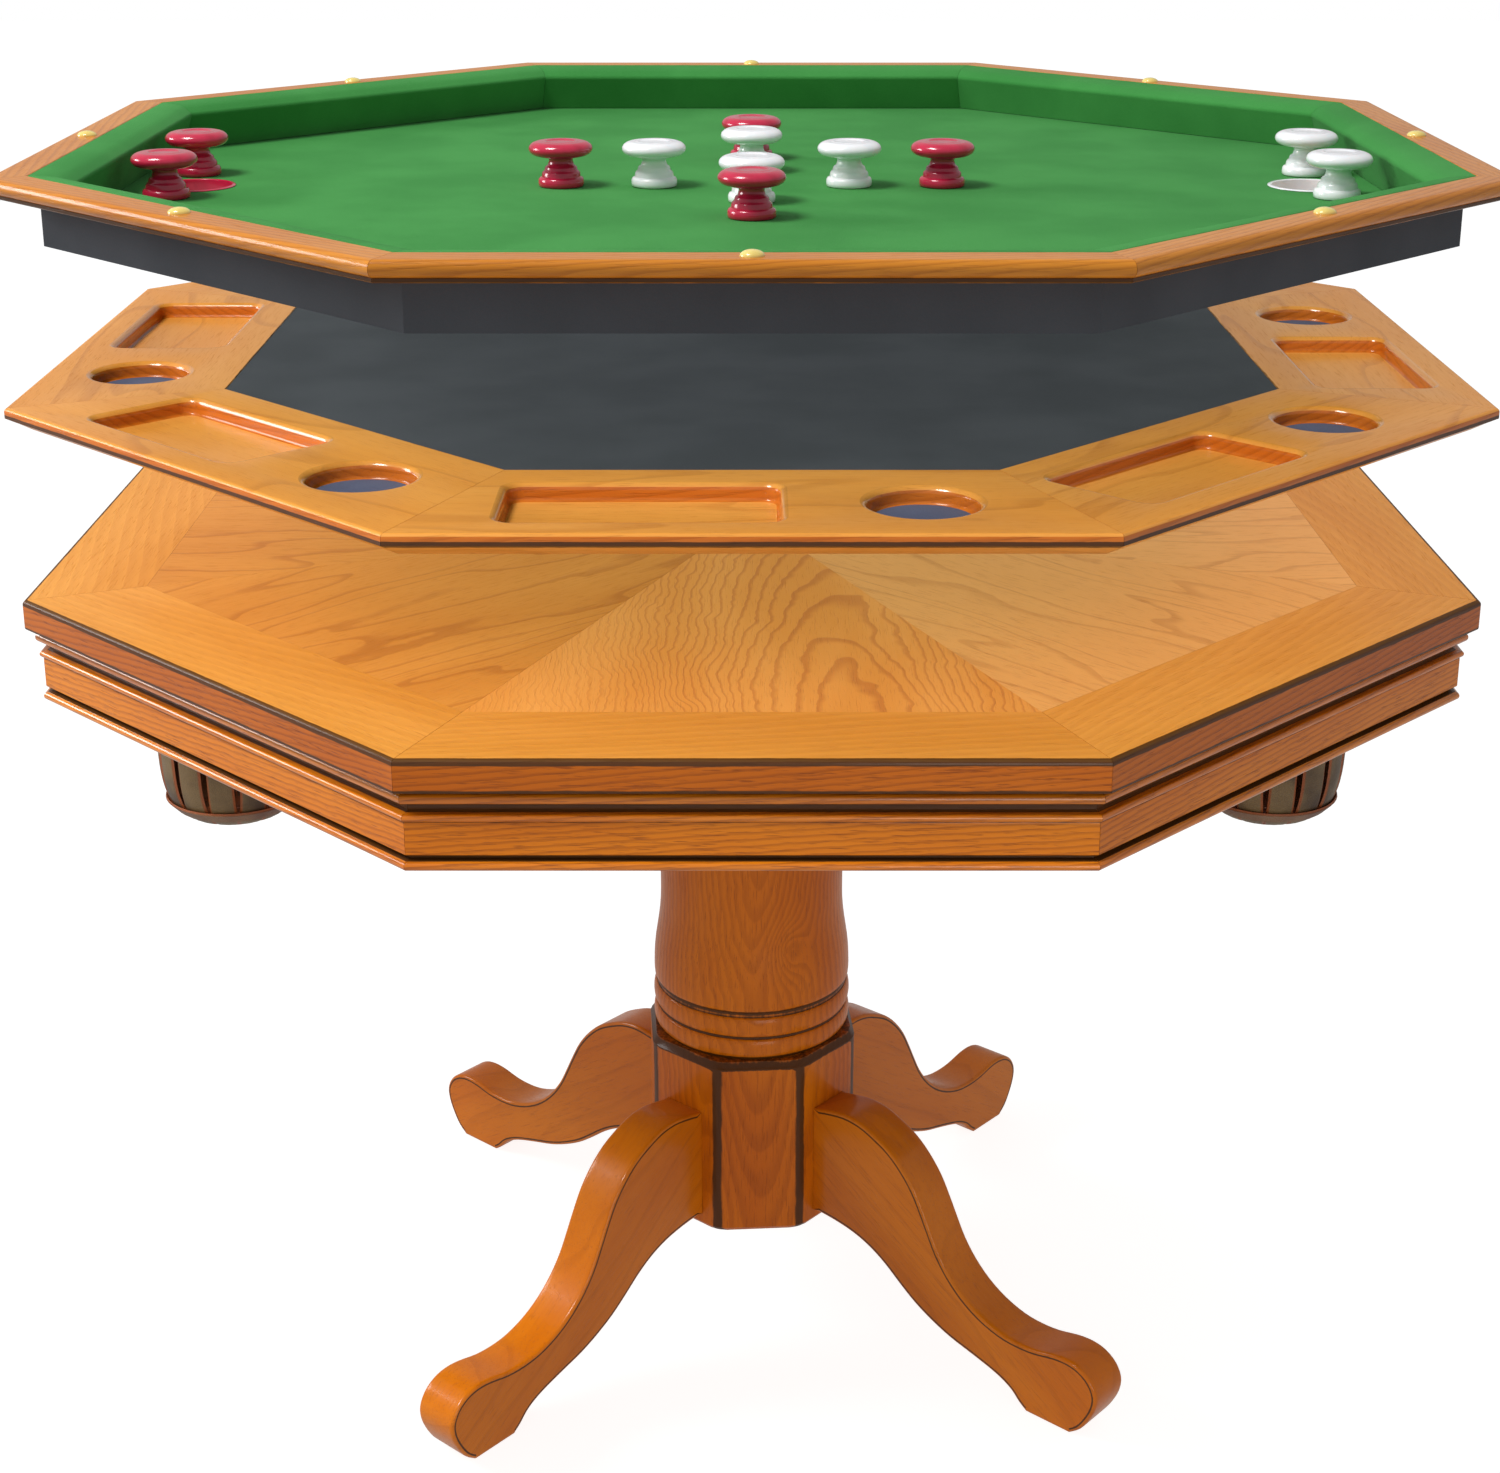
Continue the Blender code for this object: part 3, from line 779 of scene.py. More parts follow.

# %% [markdown]
# ## The dining veneers
# Inside the border eight triangular veneers meet at the centre, cut so that their
# arches all run outwards.  On the real top they come from a few trees and answer the
# light differently, so each is given its own tone, which paints both its tree and, as a
# painted sheen, how it caught the light.  The front one was cut close to the heart and
# shows full arches.

# %% Dining veneers
# The tones paint each veneer's tree and, as a painted sheen, how it caught the light.
VENEER_TREE_AND_SHEEN_TONES = (0.35, 0.74, 0.84, 0.44, 0.55, 0.38, 0.12, 0.10)
REACH_IN = BORDER_IN - 0.0002
SEAM = 0.00012
corners = [
    (SEAM * 2.7, 0),
    (REACH_IN, REACH_IN * MITRE - SEAM),
    (REACH_IN, -REACH_IN * MITRE + SEAM),
]
wedge = [(x, y, DINING_TOP - z) for z in (0, SLAB) for x, y in corners]
wedge_faces = [(0, 1, 2), (5, 4, 3), (0, 3, 4, 1), (1, 4, 5, 2), (2, 5, 3, 0)]
for side in SIDES:
    mesh = mesh_of("veneer", wedge, wedge_faces)
    front = side == 0
    heart = (BORDER_IN - 0.02, 0.068 if front else -0.25, DINING_TOP)
    lay_grain(mesh, (1, 0, 0), (0, 1, 0), heart, VENEER_TREE_AND_SHEEN_TONES[side])
    piece(
        f"dining_veneer_{side + 1}", mesh, FRONT_VENEER if front else SIDE_VENEER, DINING,
        solid_of(side, "dining_panel"), turn=facing(side),
    )
print("8 veneers meet at the middle of the dining top")

# %% [markdown]
# ## The aprons
# Each apron of the cabinet is one moulded board: a rounded fillet on top, a glazed
# groove, a thin bead, the flat band, another groove and a half-round foot.  Glaze
# gathers in the grooves, and the beads were rubbed back and polished, so their glaze is
# below zero.

# %% Aprons
APRON_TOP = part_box("apron_1")[1].z
APRON_TALL = thickness("apron_1")
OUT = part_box("apron_1")[0].y * -1 - 0.0055  # the flat band; the fillet stands proud of it
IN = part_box("cabinet_floor")[1].x + GAP
# The top edge, under the slab, gets glaze 1: painted shade of the gap under the dining top.
apron = [(IN, 0, 0), (OUT + 0.0005, 0, 1.0)]
apron += arc(OUT + 0.0010, -0.0040, 0.0040, 80, -60, 8, (-1.0, -0.5))  # fillet
apron += [
    (OUT - 0.0040, -0.0090, 0.9), (OUT - 0.0055, -0.0100, 1),
    (OUT - 0.0055, -0.0150, 1), (OUT - 0.0040, -0.0162, 0.8),
]
apron += arc(OUT + 0.0002, -0.0192, 0.0027, 100, -70, 7, (-0.8, -0.5))  # thin bead
apron += [
    (OUT - 0.0002, -0.0228, 0.7), (OUT, -0.0240, 0.15), (OUT, -0.0262, 0),
    (OUT, -0.0440, 0), (OUT, -0.0478, 0.3), (OUT - 0.0010, -0.0490, 0.8),
    (OUT - 0.0060, -0.0500, 1), (OUT - 0.0060, -0.0525, 1), (OUT - 0.0008, -0.0534, 0.8),
]
apron += arc(OUT - 0.0008, -0.0570, 0.0033, 85, -85, 8, (-1.0, -0.5))  # half-round foot
apron += [(OUT - 0.0020, -APRON_TALL, 0.5), (IN, -APRON_TALL, 0)]
apron_log = ((0, 1, 0), (0, 0, 1), (OUT + LOG_HEART, 0, APRON_TOP - 0.30))
ring_of_boards("apron_board", apron, APRON_TOP, EDGE_OAK, BASE, "apron_{}", apron_log)
print("8 moulded aprons")

# %% [markdown]
# ## Solids that keep their shape
# The cabinet's floor and plate, the dining top's bearer, the bed and its frame, and the
# poker field are flat boards with nothing to add to their shape.  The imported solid
# stays, and only its finish is given.


# %% Plain boards
def dress(node, finish):
    """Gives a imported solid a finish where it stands."""
    solid = frame["nodes"][node]
    solid.data.materials.clear()
    solid.data.materials.append(finish)


for node in ("cabinet_floor", "mounting_plate", "dining_bearer"):
    dress(node, PLAIN_WOOD)
# The frame's dark grey is painted shade under the overhanging rail.
dress("bed_frame", FRAME_SHADE_GREY)
dress("poker_field", SLATE_CLOTH)
dress("bumper_bed", GREEN_CLOTH)
print("floor, plate, bearer, frame, field and bed dressed")

# %% [markdown]
# ## The column
# The column was turned on a lathe: straight at the top, then swelling, then a groove
# and two round beads over the block.  Its profile is a list of radii and heights, spun
# round.  The glaze stays dark in the grooves beside the beads.

# %% Column
COLUMN_TOP, COLUMN_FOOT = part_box("pedestal_column")[1].z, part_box("pedestal_column")[0].z
BEAD_PROUD = 1.008  # the beads' radius as a share of the swelling's
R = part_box("pedestal_column")[1].x / BEAD_PROUD
TURN = 4  # the pedestal stands a little askew under the cabinet, in degrees
SWELL = (  # height over the foot, share of the radius
    (0.180, 0.927), (0.140, 0.927), (0.130, 0.930), (0.120, 0.938), (0.110, 0.951),
    (0.100, 0.967), (0.090, 0.983), (0.080, 0.994), (0.070, 1.000), (0.062, 1.002),
)
UPPER_GROOVE = (
    (0.0560, 1, 0), (0.0530, 0.997, 0.3), (0.0510, 0.985, 0.85),
    (0.0495, 0.974, 1), (0.0470, 0.974, 0.55),
)
column = [(0, COLUMN_TOP, 0), (0.927 * R, COLUMN_TOP, 0)]
column += [(share * R, COLUMN_FOOT + z, 0) for z, share in SWELL]
column += [(share * R, COLUMN_FOOT + z, tint) for z, share, tint in UPPER_GROOVE]
for low, high in ((0.0245, 0.0450), (0.0030, 0.0220)):
    middle, half = (low + high) / 2, (high - low) / 2
    for i in range(11):
        angle = math.radians(88 - 176 * i / 10)
        tint = 0.75 if i in (0, 10) else (0.2 if i in (1, 9) else 0.0)
        radius = (0.974 + 0.034 * math.cos(angle)) * R
        column.append((radius, COLUMN_FOOT + middle + half * math.sin(angle), tint))
    column.append((0.972 * R, COLUMN_FOOT + low - 0.0006, 1.0))
column += [(0.960 * R, COLUMN_FOOT, 1.0), (0, COLUMN_FOOT, 1.0)]
mesh = turned("column", column)
lay_grain(mesh, (0, 0, 1), (1, 0, 0))
piece("turned_column", mesh, BLOCK_OAK, BASE, ["pedestal_column"], turn=TURN)
print("column", round(COLUMN_TOP - COLUMN_FOOT, 3), "m tall")

# %% [markdown]
# ## The block
# Under the column the legs are fixed to an eight-sided block whose upright arrises are
# planed off.  Each of its rings has four points to a side, so that the chamfer is real
# shape and carries its own dark glaze.

# %% Block
BLOCK_TOP, BLOCK_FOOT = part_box("pedestal_block")[1].z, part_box("pedestal_block")[0].z
BLOCK = 0.0995  # from the centre to the middle of a side
CHAMFER, CHAMFER_BACK = 0.0058, 0.0015
NEAR_FACE = 0.004  # rings this close to the outside have glazed arrises
# The top face and its edge get glaze values of 0.56 to 1, so they are drawn dark brown; the bottom
# edge gets 0.6.
BLOCK_LEVELS = (  # out, height, glaze
    (0, BLOCK_TOP, 1), (0.078, BLOCK_TOP, 1), (0.086, BLOCK_TOP, 0.56),
    (BLOCK - 0.004, BLOCK_TOP, 0.6), (BLOCK - 0.0015, BLOCK_TOP - 0.0045, 1),
    (BLOCK, BLOCK_TOP - 0.0066, 1), (BLOCK, BLOCK_TOP - 0.0100, 0),
    (BLOCK, BLOCK_FOOT + 0.004, 0), (BLOCK - 0.003, BLOCK_FOOT, 0.6), (0, BLOCK_FOOT, 0),
)


def block_ring(out, z, tint):
    """Points (x, y, z, glaze) round the block at one height, or one point on its axis."""
    if out == 0:
        return [(0, 0, z, tint)]
    half = out * MITRE
    arris = 1 if BLOCK - out < NEAR_FACE else tint
    ring = []
    for side in SIDES:
        angle = math.radians(45 * side)
        for y, back, shade in (
            (-half + CHAMFER * 0.4, CHAMFER_BACK, arris), (-half + CHAMFER * 1.6, 0, tint),
            (half - CHAMFER * 1.6, 0, tint), (half - CHAMFER * 0.4, CHAMFER_BACK, arris),
        ):
            ring.append((*around(out - back, y, angle), z, shade))
    return ring


points, glaze, rings = [], [], []
for level in BLOCK_LEVELS:
    ring = block_ring(*level)
    rings.append([len(points) + i % len(ring) for i in range(32)])
    points += [spot[:3] for spot in ring]
    glaze += [spot[3] for spot in ring]
mesh = mesh_of("block", points, joined_rings(rings), glaze)
lay_grain(mesh, (0, 0, 1), (1, 0, 0))
piece("octagon_block", mesh, BLOCK_OAK, BASE, ["pedestal_block"], turn=TURN)
print("block with", len(mesh.polygons), "faces")

# %% [markdown]
# ## The legs
# Each leg is a flat board sawn to a scroll and rounded over along its arrises.  Its
# outline is drawn as two lines of points, above and below, which a spline smooths.  The
# board is then built as rows across its thickness, and near each face the outline is
# drawn a little inwards, which makes the rounding and the dark line beside it.

# %% Leg outline
LEG_TOP_LINE = (  # out from the centre, height
    (0.0998, 0.207), (0.118, 0.211), (0.135, 0.213), (0.152, 0.211), (0.168, 0.205),
    (0.185, 0.196), (0.200, 0.183), (0.213, 0.167), (0.223, 0.149), (0.232, 0.131),
    (0.241, 0.114), (0.253, 0.098), (0.268, 0.084), (0.286, 0.073), (0.306, 0.066),
    (0.324, 0.064), (0.342, 0.065), (0.361, 0.069), (0.376, 0.070), (0.389, 0.067),
    (0.400, 0.059), (0.406, 0.047), (0.405, 0.034), (0.399, 0.020), (0.391, 0.008),
    (0.381, 0.000),
)
LEG_UNDER_LINE = (
    (0.337, 0.000), (0.329, 0.006), (0.321, 0.014), (0.311, 0.020), (0.298, 0.025),
    (0.277, 0.031), (0.255, 0.037), (0.235, 0.045), (0.216, 0.055), (0.199, 0.067),
    (0.182, 0.080), (0.165, 0.090), (0.146, 0.097), (0.124, 0.101), (0.0998, 0.103),
)
SKETCH_START, SKETCH_REACH, SKETCH_RISE = 0.0998, 0.3065, 0.213
REACH, RISE = 0.435, 0.230  # the leg's real reach and height
START = BLOCK + GAP


def spline(a, b, c, d, t):
    """The Catmull-Rom curve between b and c."""
    square = (2 * a - 5 * b + 4 * c - d) * t * t
    return 0.5 * (2 * b + (c - a) * t + square + (3 * b - a - 3 * c + d) * t ** 3)


def smooth_line(points, pieces=3):
    """A smooth line through the points, with more of them."""
    made = []
    for i in range(len(points) - 1):
        p0, p1 = points[max(i - 1, 0)], points[i]
        p2, p3 = points[i + 1], points[min(i + 2, len(points) - 1)]
        for k in range(pieces):
            made.append(tuple(spline(*four, k / pieces) for four in zip(p0, p1, p2, p3)))
    return made + [points[-1]]


outline = []
for x, z in smooth_line(LEG_TOP_LINE) + smooth_line(LEG_UNDER_LINE):
    x = START + (x - SKETCH_START) * (REACH - START) / SKETCH_REACH
    outline.append((x, z * RISE / SKETCH_RISE))
print("leg outline of", len(outline), "points")

# %% Legs
HALF_LEG = 0.0225  # half the board's thickness
ROUND = 0.0034  # radius of the rounded arris


def inward(points, i):
    """The direction into the outline at point i."""
    (x0, y0), (x1, y1) = points[i - 1], points[(i + 1) % len(points)]
    length = math.hypot(x1 - x0, y1 - y0) or 1
    return (y1 - y0) / length, -(x1 - x0) / length


def leg_rows():
    """Rows across the leg: how far the outline draws in, where, and the glaze there."""
    rims = [(0.0050, 0, 0), (0.0043, 0, 0.85), (ROUND, 0, 0.95)]
    for i in range(1, 6):
        angle = math.radians(90 * i / 6)
        inset, drop = ROUND * (1 - math.sin(angle)), ROUND * (1 - math.cos(angle))
        rims.append((inset, drop, 0.35 if i < 3 else 0.1))
    rims += [(0, ROUND, 0.05), (0, 0.0062, 0)]
    rows = [(inset, HALF_LEG - drop, tint) for inset, drop, tint in rims]
    return rows + [(inset, -y, tint) for inset, y, tint in reversed(rows)]


def leg_mesh():
    """A scrolled leg; its foot stays flat and clean, and its root flat on the block."""
    rows = leg_rows()
    directions = [inward(outline, i) for i in range(len(outline))]
    points, glaze = [], []
    for inset, y, tint in rows:
        for (x, z), (dx, dz) in zip(outline, directions):
            points.append((x + dx * inset * (x > 0.1), y, max(z + dz * inset, 0.0)))
            glaze.append(0.0 if z < 0.0005 else tint)
    n = len(outline)
    return mesh_of("leg", points, wall(len(rows), n) + ends(len(rows), n), glaze)


LEGS = (("front_right", -45), ("back_right", 45), ("back_left", 135), ("front_left", 225))
for name, angle in LEGS:
    mesh = leg_mesh()
    lay_grain(mesh, (0.84, 0, -0.54), (0.54, 0, 0.84), (0, 0.06, -0.10))
    piece(
        f"scroll_leg_{name}", mesh, LEG_OAK, BASE, [f"leg_{name}"],
        turn=angle + TURN, sharp=40,
    )
print(len(LEGS), "legs")

# %% [markdown]
# ## The poker top: what the router cuts
# Eight mitred boards are each milled with a long chip tray and a round cup recess.  The
# recesses could be modelled face by face, but a cutter shaped like the router's bit,
# rounded at the bottom and flared at the rim, leaves the wall and its soft edge in one
# cut.

# %% The router's cutter
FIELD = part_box("poker_field")[1].x + GAP
THICK = thickness("poker_segment_1")
MIDDLE = (FIELD + HALF) / 2 + 0.0025  # the line the trays and cups lie on
RECESS_DEPTH = 0.014
FLARE, FILLET = 0.0060, 0.0035


def router_path(depth):
    """(outward, z) steps of the cutter's side, from the floor of the recess up."""
    steps = []
    for i in range(5):
        angle = math.radians(90 * i / 4)
        out, up = FILLET * math.sin(angle), FILLET * (1 - math.cos(angle))
        steps.append((-FILLET + out, -depth + up))
    for i in range(7):
        angle = math.radians(90 * i / 6)
        steps.append((FLARE * (1 - math.cos(angle)), -FLARE * (1 - math.sin(angle))))
    steps.append((FLARE + 0.001, 0.004))
    return steps


def router_cut(name, rim):
    """A cutter swept round a closed rim of (x, y, outward x, outward y)."""
    points, steps = [], router_path(RECESS_DEPTH)
    for out, z in steps:
        points += [(x + ox * out, y + oy * out, z) for x, y, ox, oy in rim]
    n = len(rim)
    mesh = mesh_of(name, points, wall(len(steps), n) + ends(len(steps), n))
    obj = bpy.data.objects.new(name, mesh)
    bpy.context.scene.collection.objects.link(obj)
    return obj


print("the cutter's side has", len(router_path(RECESS_DEPTH)), "steps")

# %% Tray and cup
TRAY_WIDE, TRAY_CORNER, CUP = 0.103, 0.012, 0.043
CUP_Y = 0.556 * MITRE * MIDDLE
inner_half = MITRE * (MIDDLE - TRAY_WIDE / 2)  # half the side where the tray starts
tray_in, tray_out = MIDDLE - TRAY_WIDE / 2 + FLARE / 2, MIDDLE + TRAY_WIDE / 2 - FLARE / 2
near, far = -0.912 * inner_half + FLARE / 2, 0.116 * inner_half - FLARE / 2
tray_corners = (
    (tray_out, far, 0), (tray_in, far, 90), (tray_in, near, 180), (tray_out, near, 270)
)
tray_rim = []
for x, y, start in tray_corners:
    cx = x - math.copysign(TRAY_CORNER, x - MIDDLE)
    cy = y - math.copysign(TRAY_CORNER, y - (near + far) / 2)
    for i in range(9):
        angle = math.radians(start + 90 * i / 8)
        ox, oy = math.cos(angle), math.sin(angle)
        tray_rim.append((cx + TRAY_CORNER * ox, cy + TRAY_CORNER * oy, ox, oy))
cup_rim = []
for i in range(64):
    ox, oy = math.cos(2 * math.pi * i / 64), math.sin(2 * math.pi * i / 64)
    cup_rim.append((MIDDLE + (CUP - FLARE / 2) * ox, CUP_Y + (CUP - FLARE / 2) * oy, ox, oy))
tray_cutter = router_cut("tray_cutter", tray_rim)
cup_cutter = router_cut("cup_cutter", cup_rim)
print("tray", round(far - near, 3), "m long, cup", 2 * CUP, "m wide")

# %% [markdown]
# ## The poker boards
# One board is cut and then copied eight times, since cutting is slow.  The glaze is
# then written by place: painted shade along the lower outer edge, dark where the field's
# cloth begins, below zero on the rubbed lip of each recess.  The milled walls cut across
# the grain and drank more stain, so they get a redder, darker oak than the face, which also
# paints the shade inside the recesses.

# %% Milling one board
segment = [(FIELD, -0.0006, 0.9), (FIELD + 0.0006, 0, 0.5), (FIELD + 0.0020, 0, 0)]
segment += [(HALF - 0.0050, 0, 0), (HALF - 0.0040, 0, 0.3)]
segment += arc(HALF - 0.0030, -0.0030, 0.0030, 90, 0, 4)
segment += [
    (HALF, -0.0045, 0), (HALF, -0.0062, 0), (HALF, -0.0085, 1),
    (HALF - 0.0100, -0.0140, 0), (HALF - 0.0200, -THICK, 0), (FIELD, -THICK, 0),
]
pattern = bpy.data.objects.new("pattern", mitred("poker_board", segment))
bpy.context.scene.collection.objects.link(pattern)
for tool in (tray_cutter, cup_cutter):
    cut = pattern.modifiers.new(tool.name, "BOOLEAN")
    cut.object = tool
    cut.solver = "EXACT"
bpy.context.view_layer.update()
cut_pattern = pattern.evaluated_get(bpy.context.evaluated_depsgraph_get())
milled = bpy.data.meshes.new_from_object(cut_pattern)
for tool in (pattern, tray_cutter, cup_cutter):
    bpy.data.objects.remove(tool)
print("one poker board of", len(milled.polygons), "faces")


# %% Poker boards
def poker_glaze_and_shade(place):
    """The glaze and painted shade at a place on a poker board whose top is at height 0."""
    out, _, z = place
    # Painted shade: the lower outer edge, below the rounded arris, is drawn dark; there is no
    # groove there.
    if out > HALF - 0.0005 and z < -0.0055:
        return 1.0  # groove of the outer edge
    if out < FIELD + 0.0007 and z > -0.0010:
        return 0.6  # beside the cloth
    if FIELD + 0.01 < out < HALF - 0.01 and -0.0055 < z < -0.0002:
        return -0.9  # lip of a recess
    return 0.0


def is_milled(face):
    """True for the wall of a recess and for the board's outer edge."""
    out, deep = face.center.x, POKER_TOP - face.center.z
    wall_height = FIELD + 0.01 < out < HALF - 0.01 and 0.0028 < deep < RECESS_DEPTH + 0.001
    return (wall_height and face.normal.z < 0.9) or out > HALF - 0.0005


for side in SIDES:
    mesh = milled.copy()
    glaze = [poker_glaze_and_shade(vertex.co) for vertex in mesh.vertices]
    own_attribute(mesh, "glaze", "FLOAT", glaze)
    mesh.transform(Matrix.Translation((0, 0, POKER_TOP)))
    lay_grain(mesh, *flat_log(POKER_TOP))
    board = piece(
        f"poker_board_{side + 1}", mesh, POKER_OAK, POKER,
        solid_of(side, "poker_segment_{}"), turn=facing(side),
    )
    # The walls' darker oak is partly real stain and partly painted shade.
    second_finish(board, MILLED_STAIN_AND_SHADE_OAK, is_milled)
print("8 poker boards")

# %% [markdown]
# ## The cup pads
# A disc of felt lies loose in each cup recess, so that glasses don't rattle.  It is a
# thin lathe piece, a little smaller than the recess, with its upper edge rounded off.

# %% Cup pads
PAD = CUP - 0.0055
PAD_TOP, PAD_FOOT = -RECESS_DEPTH + 0.0012, -RECESS_DEPTH + 0.0002
pad = [
    (0, PAD_TOP, 0), (CUP - 0.0062, PAD_TOP, 0), (PAD, -RECESS_DEPTH + 0.0009, 0),
    (PAD, PAD_FOOT, 0), (0, PAD_FOOT, 0),
]
for side in SIDES:
    spot = (*around(MIDDLE, CUP_Y, math.radians(facing(side))), POKER_TOP)
    mesh = turned("cup_pad", pad, 64)
    piece(f"cup_pad_{side + 1}", mesh, CUP_FELT, POKER, place=spot)
print("8 cup pads")

# %% [markdown]
# ## The rails of the bumper-pool top
# A bullnosed rail runs round the green bed and overhangs its frame, so hands can lift
# the whole top by it.  Under the bullnose its lower edge is drawn dark, a painted shade
# under the overhang.

# %% Rails
RAIL_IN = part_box("cushion_ring")[1].x + GAP
WALL_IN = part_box("bumper_bed")[1].x + GAP
BULL = 0.0062  # radius of the bullnose
REBATE = 0.0100  # the rail is this thick where the cushion is glued on
rail = [(RAIL_IN, -0.0008, 0.6), (RAIL_IN + 0.0008, 0, 0.3), (RAIL_IN + 0.0025, 0, 0)]
rail += [(HALF - BULL - 0.004, 0, 0)]
rail += arc(HALF - BULL, -BULL, BULL, 90, -80, 12)
# Glaze 1 to 0.6 under the bullnose: painted shade below the overhanging bead.
rail += [(HALF - 0.0045, -0.0126, 1), (HALF - 0.0045, -0.0150, 0.8), (HALF - 0.0060, -0.0160, 0.6)]
rail += [(WALL_IN + GAP, -0.0160, 0), (WALL_IN + GAP, -REBATE, 0), (RAIL_IN, -REBATE, 0)]
rail_log = flat_log(RAIL_TOP)
ring_of_boards("rail_board", rail, RAIL_TOP, RAIL_OAK, BUMPER, "rail_{}", rail_log)
print("8 rails")

# %% [markdown]
# ## The cushions
# The cushions are hard rubber under tight cloth: flat on top, a rounded nose, then cut
# back to the bed.  Soft furniture would be simulated as cloth, but a cushion like this
# does not swell or crease, so its section says all there is to say.

# %% Cushions
BED = 0.045  # how deep the bed lies under the rail's top
NOSE = WALL_IN - 0.0137
NOSE_DROP = 0.0112
OVER = RAIL_IN - GAP
cushion = [(OVER, -0.0007, 0), (OVER - 0.0007, 0, 0), (OVER - 0.004, 0, 0)]
cushion += [(NOSE + 0.0110, -0.0022, 0), (NOSE + 0.0060, -0.0045, 0)]
cushion += arc(NOSE + 0.0040, -NOSE_DROP, 0.0040, 115, 205, 8)
cushion += [(WALL_IN - 0.0028, -BED + 0.0005, 0), (WALL_IN - GAP, -BED + 0.0005, 0)]
cushion += [(WALL_IN - GAP, -REBATE + GAP, 0), (OVER, -REBATE + GAP, 0)]
for pad in ring_of_boards(
    "cushion", cushion, RAIL_TOP, GREEN_CLOTH, BUMPER, "cushion_ring"
):
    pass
print("8 cushions, nose", round((BED - NOSE_DROP) * 1000), "mm over the bed")

# %% [markdown]
# ## The pocket liners
# A moulded ring is pressed into each of the two holes in the bed, one red and one
# white.  It is a thin lathe piece with a rolled lip that holds the cloth down.

# %% Pocket liners
POCKET = 0.033  # inside radius
LINER = (  # out from the inside wall, height over the bed
    (0, 0.0007), (0.0008, 0.0014), (0.0022, 0.0014), (0.0034, 0.0008), (0.0035, 0.0004),
    (0.0016, 0.0003), (0.0016, -0.0115), (0, -0.0115), (0, 0.0007),
)
liner = [(POCKET + out, z, 0) for out, z in LINER]
RED, WHITE = (CRIMSON, "crimson_plastic"), (IVORY_WHITE, "white_plastic")
for name, (finish, slot) in (("left", RED), ("right", WHITE)):
    low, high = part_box(f"pocket_liner_{name}")
    centre = (low + high) / 2
    piece(
        f"pocket_ring_{name}", turned("liner", liner, 72), finish, BUMPER,
        [f"pocket_liner_{name}"], place=(centre.x, centre.y, RAIL_TOP - BED),
    )
print("2 pocket liners")

# %% [markdown]
# ## The bumpers
# Twelve posts stand on the bed.  Each is one moulding: a domed cap with a shallow dish,
# a narrow neck and a stepped foot.  Its profile is given in shares of the cap, the foot
# and the height, so the same list would serve a bumper of any size.

# %% Bumper profile
TALL, CAP_RADIUS, FOOT_RADIUS, CAP_THICK = 0.040, 0.0285, 0.0205, 0.0135
DISH = (  # share of the cap's radius, height against the top
    (0, -0.0010), (0.36, -0.0010), (0.43, -0.0008), (0.47, -0.0001),
    (0.53, 0), (0.58, -0.0003), (0.62, -0.0004),
)
NECK = ((0.62, 0), (0.54, -0.0015), (0.52, -0.0040))  # share of the foot's, under the cap
FOOT = (  # share of the foot's radius, share of the height
    (0.58, 0.47), (0.66, 0.445), (0.70, 0.42), (0.72, 0.36), (0.78, 0.335), (0.83, 0.30),
    (0.85, 0.215), (0.94, 0.195), (0.99, 0.15), (1, 0.08), (0.985, 0.02), (0.95, 0.005),
    (0, 0),
)
bumper_line = [(share * CAP_RADIUS, TALL + z, 0) for share, z in DISH]
for i in range(15):
    angle = math.radians(6 + 168 * i / 14)
    out = 0.66 * CAP_RADIUS + 0.34 * CAP_RADIUS * math.sin(angle)
    up = TALL - CAP_THICK / 2 + CAP_THICK / 2 * math.cos(angle) * 0.97
    bumper_line.append((out, up, 0))
bumper_line += [(share * FOOT_RADIUS, TALL - CAP_THICK + z, 0) for share, z in NECK]
bumper_line += [(share * FOOT_RADIUS, part * TALL, 0) for share, part in FOOT]
print("bumper profile of", len(bumper_line), "points")

# %% Bumpers
bumpers = [n for n in frame["nodes"] if n.startswith("bumper_") and n != "bumper_bed"]
for node in sorted(bumpers):
    low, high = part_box(node)
    finish, slot = RED if "red" in node else WHITE
    piece(
        "cap_" + node, turned("bumper", bumper_line, 64), finish, BUMPER, [node],
        place=((low.x + high.x) / 2, (low.y + high.y) / 2, low.z), sharp=50,
    )
print(len(bumpers), "bumpers")

# %% [markdown]
# ## The sights
# A small cream dome is let into the middle of each rail, for lining up a shot.  A
# quarter of an ellipse, spun round, makes one.

# %% Sights
SIGHT_RADIUS, SIGHT_HEIGHT, SIGHT_INSET = 0.0085, 0.0042, 0.0125
dome = []
for i in range(11):
    angle = math.radians(90 - 9 * i)
    dome.append((SIGHT_RADIUS * math.cos(angle), SIGHT_HEIGHT * math.sin(angle), 0))
dome.append((0, 0, 0))
for side in SIDES:
    spot = (*around(RAIL_IN + SIGHT_INSET, 0, math.radians(facing(side))), RAIL_TOP)
    mesh = turned("sight", dome, 40)
    piece(f"sight_{side + 1}", mesh, SIGHT, BUMPER, place=spot)
print("8 sights")

# %% [markdown]
# ## The ball baskets
# Under the cabinet hang two baskets of leather: fourteen straps run down and under, a
# ring holds them at the top, a hoop at the turn and a round patch at the bottom.  A
# simulation would lose such narrow straps, so each is laid along a curve: rows of a
# small section with thin edges, turned to follow the path.

# %% A strap
STRAPS = 14
STRAP_SECTION = (  # share of the half width, share of the thickness, how near a cut edge
    (-1, 0.3, 1), (-0.86, 1, 0.6), (-0.7, 1.1, 0), (0, 1.15, 0), (0.7, 1.1, 0),
    (0.86, 1, 0.6), (1, 0.3, 1), (0.86, 0, 0.5), (-0.86, 0, 0.5),
)


